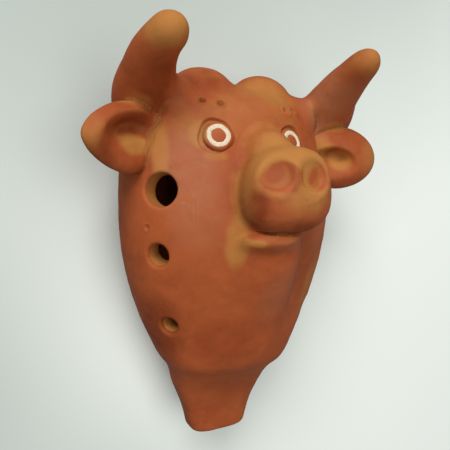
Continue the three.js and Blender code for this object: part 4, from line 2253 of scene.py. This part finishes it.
@dataclass(frozen=True)
class SlipPaint:
    """Cream slip, brushed on thick and dry."""

    name: str
    cream: Triple
    thin: Triple

    def material(self, effects: Effects) -> bpy.types.Material:
        """The paint as a material.

        Args:
            effects: the shared effects.

        Returns:
            The material.
        """
        made, tree, where = new_material(self.name)
        mottle = effects.place(tree, Effect.MOTTLE, Where=where, Scale=6.0)
        grain = effects.place(tree, Effect.GRAIN, Where=where, Pores=0.5, Dabs=0.7)
        worn = tree.span(tree.noise(where, 1700.0, 4.0, 0.6), 0.5, 0.72, 0.0, 0.55)
        given = {"Where": where, "Colour": (*self.cream, 1), "Under": (*self.thin, 1)}
        rub = effects.place(tree, Effect.RUB, **given, Amount=worn, Break=0.5)
        colour = tree.blend(tree.times(mottle["Small"], 0.3), rub["Colour"], (*self.thin, 1))
        rough = tree.span(mottle["Small"], 0.0, 1.0, 0.72, 0.9)
        tree.surface(colour, rough, grain["Height"], strength=0.7, relief=0.00018)
        return made


@dataclass
class Studio:
    """The pale table, the soft light and the camera."""

    eye: Triple = (-80.829, 93.188, 144.720)
    across: Triple = (0.874572, 0.038357, 0.483377)
    down: Triple = (-0.018228, -0.993561, 0.111821)
    ahead: Triple = (0.484554, -0.106607, -0.868241)
    focal: float = 467.0
    frame_width: float = 450.0
    table_size: float = 5.0
    table_near: Triple = (0.94, 0.985, 0.925)
    # The table's colour where shade is painted on it
    table_far: Triple = (0.52, 0.58, 0.535)
    table_bounce: Triple = (0.25, 0.26, 0.25)
    # The ways along which shade is painted on the table, and how many metres along them it starts
    # and ends
    darker_way: Triple = (0.45, -0.9, 0.0)
    darker_span: tuple[float, float] = (-0.12, 0.06)
    corner_way: Triple = (-1.0, -1.0, 0.0)
    corner_span: tuple[float, float] = (0.05, 0.15)
    haze_span: tuple[float, float] = (0.25, 1.0)
    backdrop: Triple = (0.78, 0.84, 0.79)
    room_colour: Triple = (0.97, 1.0, 0.98)
    room_light: float = 0.3
    lamps: tuple[tuple[str, Triple, float, float], ...] = (
        ("window light", (-0.626, 1.049, 0.870), 0.9, 16.5),
        ("ceiling light", (0.0, 0.139, 1.393), 1.0, 5.8),
    )

    def set_up(self, to_row: Matrix) -> None:
        """Sets up the camera, the table and the light.

        Args:
            to_row: from the whistle's own frame to the row frame.
        """
        camera = lay_out("camera", bpy.data.cameras.new("camera"))
        camera.data.sensor_width = 36.0
        camera.data.lens = self.focal * camera.data.sensor_width / self.frame_width
        camera.data.clip_start, camera.data.clip_end = 0.01, 20
        columns = (self.across, [-value for value in self.down], [-value for value in self.ahead])
        camera.rotation_mode = "QUATERNION"
        camera.rotation_quaternion = Matrix(columns).transposed().to_quaternion()
        camera.location = to_row @ Vector(self.eye)
        bpy.context.scene.camera = camera
        self.lay_table()
        self.light()
        bpy.context.scene.view_settings.view_transform = "Standard"

    def lay_table(self) -> None:
        """Lays the pale table, with shade painted on it towards the far left and towards one
        corner.
        """
        form = bmesh.new()
        bmesh.ops.create_grid(form, x_segments=4, y_segments=4, size=self.table_size)
        bmesh.ops.translate(form, vec=(0, 0, -0.00005), verts=form.verts)
        mesh = bpy.data.meshes.new("table")
        form.to_mesh(mesh)
        form.free()
        table = lay_out("table", mesh)
        made = bpy.data.materials.new("pale table")
        made.use_nodes = True
        tree = NodeTree(made.node_tree)
        where = tree.add("ShaderNodeTexCoord").outputs["Object"]
        along = tree.vector("DOT_PRODUCT", where, self.darker_way).outputs["Value"]
        corner = tree.vector("DOT_PRODUCT", where, self.corner_way).outputs["Value"]
        reach = tree.vector("LENGTH", where).outputs["Value"]
        seen = tree.add("ShaderNodeLightPath").outputs["Is Camera Ray"]
        # Shade painted on the table towards the far left and towards one corner
        light = tree.span(along, *self.darker_span)
        shade = tree.span(corner, *self.corner_span, 0.0, 0.8)
        cloud = tree.span(tree.noise(where, 6.0, 2.0, 0.5), 0.3, 0.7, -0.06, 0.06)
        light = tree.plus(tree.maths("SUBTRACT", light, shade), cloud, clamp=True)
        colour = tree.blend(light, (*self.table_far, 1), (*self.table_near, 1))
        colour = tree.blend(seen, (*self.table_bounce, 1), colour)
        shader = made.node_tree.nodes["Principled BSDF"]
        tree.feed(shader.inputs["Base Color"], colour)
        shader.inputs["Roughness"].default_value = 0.7
        shader.inputs["Specular IOR Level"].default_value = 0.2
        haze = tree.fed(tree.add("ShaderNodeEmission"), (*self.backdrop, 1))
        far = tree.times(tree.span(reach, *self.haze_span), seen)
        both = tree.mix_shaders(far, shader.outputs[0], haze.outputs[0])
        tree.feed(made.node_tree.nodes["Material Output"].inputs["Surface"], both)
        table.data.materials.append(made)
        table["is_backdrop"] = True

    def light(self) -> None:
        """A broad window beyond the horns and a ceiling light, in an even pale room."""
        for name, place, size, power in self.lamps:
            lamp = lay_out(name, bpy.data.lights.new(name, "AREA"))
            lamp.data.shape = "DISK"
            lamp.data.size = size
            lamp.data.energy = power
            lamp.location = place
            lamp.rotation_mode = "QUATERNION"
            lamp.rotation_quaternion = Vector(place).to_track_quat("Z", "Y")
        world = bpy.data.worlds.new("room")
        world.use_nodes = True
        world.node_tree.nodes.clear()
        tree = NodeTree(world.node_tree)
        room, wall = (tree.add("ShaderNodeBackground") for _ in range(2))
        tree.fed(room, (*self.room_colour, 1), self.room_light)
        tree.fed(wall, (*self.backdrop, 1))
        seen = tree.add("ShaderNodeLightPath").outputs["Is Camera Ray"]
        both = tree.mix_shaders(seen, room.outputs[0], wall.outputs[0])
        tree.fed(tree.add("ShaderNodeOutputWorld"), both)
        bpy.context.scene.world = world


def horn_rolls() -> dict[Side, HornRoll]:
    """The two horns, the bull's left one with a broad root.

    Returns:
        The horns by side.
    """
    left = HornRoll(
        Side.LEFT,
        below_crown=9.6,
        root_width=28.0,
        root_thickness=20.0,
        tip_radius=4.0,
        girth=1.08,
        lean=2.6,
        sweep=0.45,
        rise=19.6,
        reach=30.2,
        flare=3.4,
    )
    right = HornRoll(
        Side.RIGHT,
        below_crown=8.0,
        seat=9.4,
        rise=16.7,
        girth=1.05,
        lean=-1.4,
        sweep=2.5,
        reach=28.3,
        flare=1.9,
    )
    return {Side.LEFT: left, Side.RIGHT: right}


def ear_leaves() -> dict[Side, EarLeaf]:
    """The two ears, the bull's right one longer and more deeply cupped.

    Returns:
        The ears by side.
    """
    left = EarLeaf(
        Side.LEFT,
        size=(29.6, 23.2, 14.0),
        cup_size=(18.0, 11.0),
        cup_place=(-3.0, -1.6),
        cup_depth=5.2,
        squareness=1.95,
        sag=1.4,
    )
    right = EarLeaf(
        Side.RIGHT,
        seat=9.5,
        size=(32.8, 21.2, 14.4),
        cup_size=(27.6, 17.4),
        cup_place=(-0.6, -0.6),
        cup_depth=6.8,
    )
    return {Side.LEFT: left, Side.RIGHT: right}


def finishes() -> dict[str, bpy.types.Material]:
    """Makes the three finishes.

    Returns:
        The materials by the record's slots.
    """
    effects = Effects()
    red = ClayFinish(
        name="red slip on clay",
        slip=(0.41, 0.093, 0.026),
        slip_dark=(0.23, 0.043, 0.011),
        under=(0.45, 0.180, 0.042),
        dust=(0.47, 0.205, 0.105),
        bare=0.0,
        roughness=0.5,
    )
    ochre = ClayFinish(
        name="clay rubbed to ochre",
        slip=(0.42, 0.100, 0.029),
        slip_dark=(0.23, 0.043, 0.011),
        under=(0.46, 0.188, 0.046),
        dust=(0.48, 0.210, 0.110),
        bare=0.1,
        roughness=0.52,
    )
    cream = SlipPaint("cream slip", cream=(0.77, 0.66, 0.49), thin=(0.52, 0.29, 0.155))
    slots = {"red_clay": red, "ochre_clay": ochre, "cream_slip": cream}
    return {slot: finish.material(effects) for slot, finish in slots.items()}


def main() -> None:
    """Builds the whistle piece by piece and sets the scene."""
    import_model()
    low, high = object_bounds()
    head = HeadForm()
    bench = Bench(
        head=head,
        horns=horn_rolls(),
        ears=ear_leaves(),
        muzzle=Muzzle(),
        eyes=EyeSet(),
        rubbing=Rubbing(),
        low=low,
        high=high,
    )
    paints = finishes()
    skin = bench.mark(bench.refine(bench.lute()))
    pieces = bench.part(skin)
    bench.finish(pieces, skin)
    for node, piece in pieces.items():
        piece.name = f"{node}_clay"
        slot = "ochre_clay" if node == "muzzle" else "red_clay"
        bench.set_down(piece, node, paints[slot])
    for side in Side:
        for word, form, slot in (
            ("eye", bench.eyes.button_form(head, side), "red_clay"),
            ("eye_ring", bench.eyes.ring_form(head, side), "cream_slip"),
        ):
            node = f"{side.word}_{word}"
            piece = piece_from(f"{node}_clay", form)
            piece.data.shade_smooth()
            write_marks(piece.data, bench.rubbing.marks(places_of(piece.data)))
            bench.set_down(piece, node, paints[slot])
            log.info("%s: %d points", node, len(piece.data.vertices))
    Studio().set_up(bench.to_row())


if __name__ == "__main__":
    logging.basicConfig(level=logging.INFO, format="%(message)s")
    main()
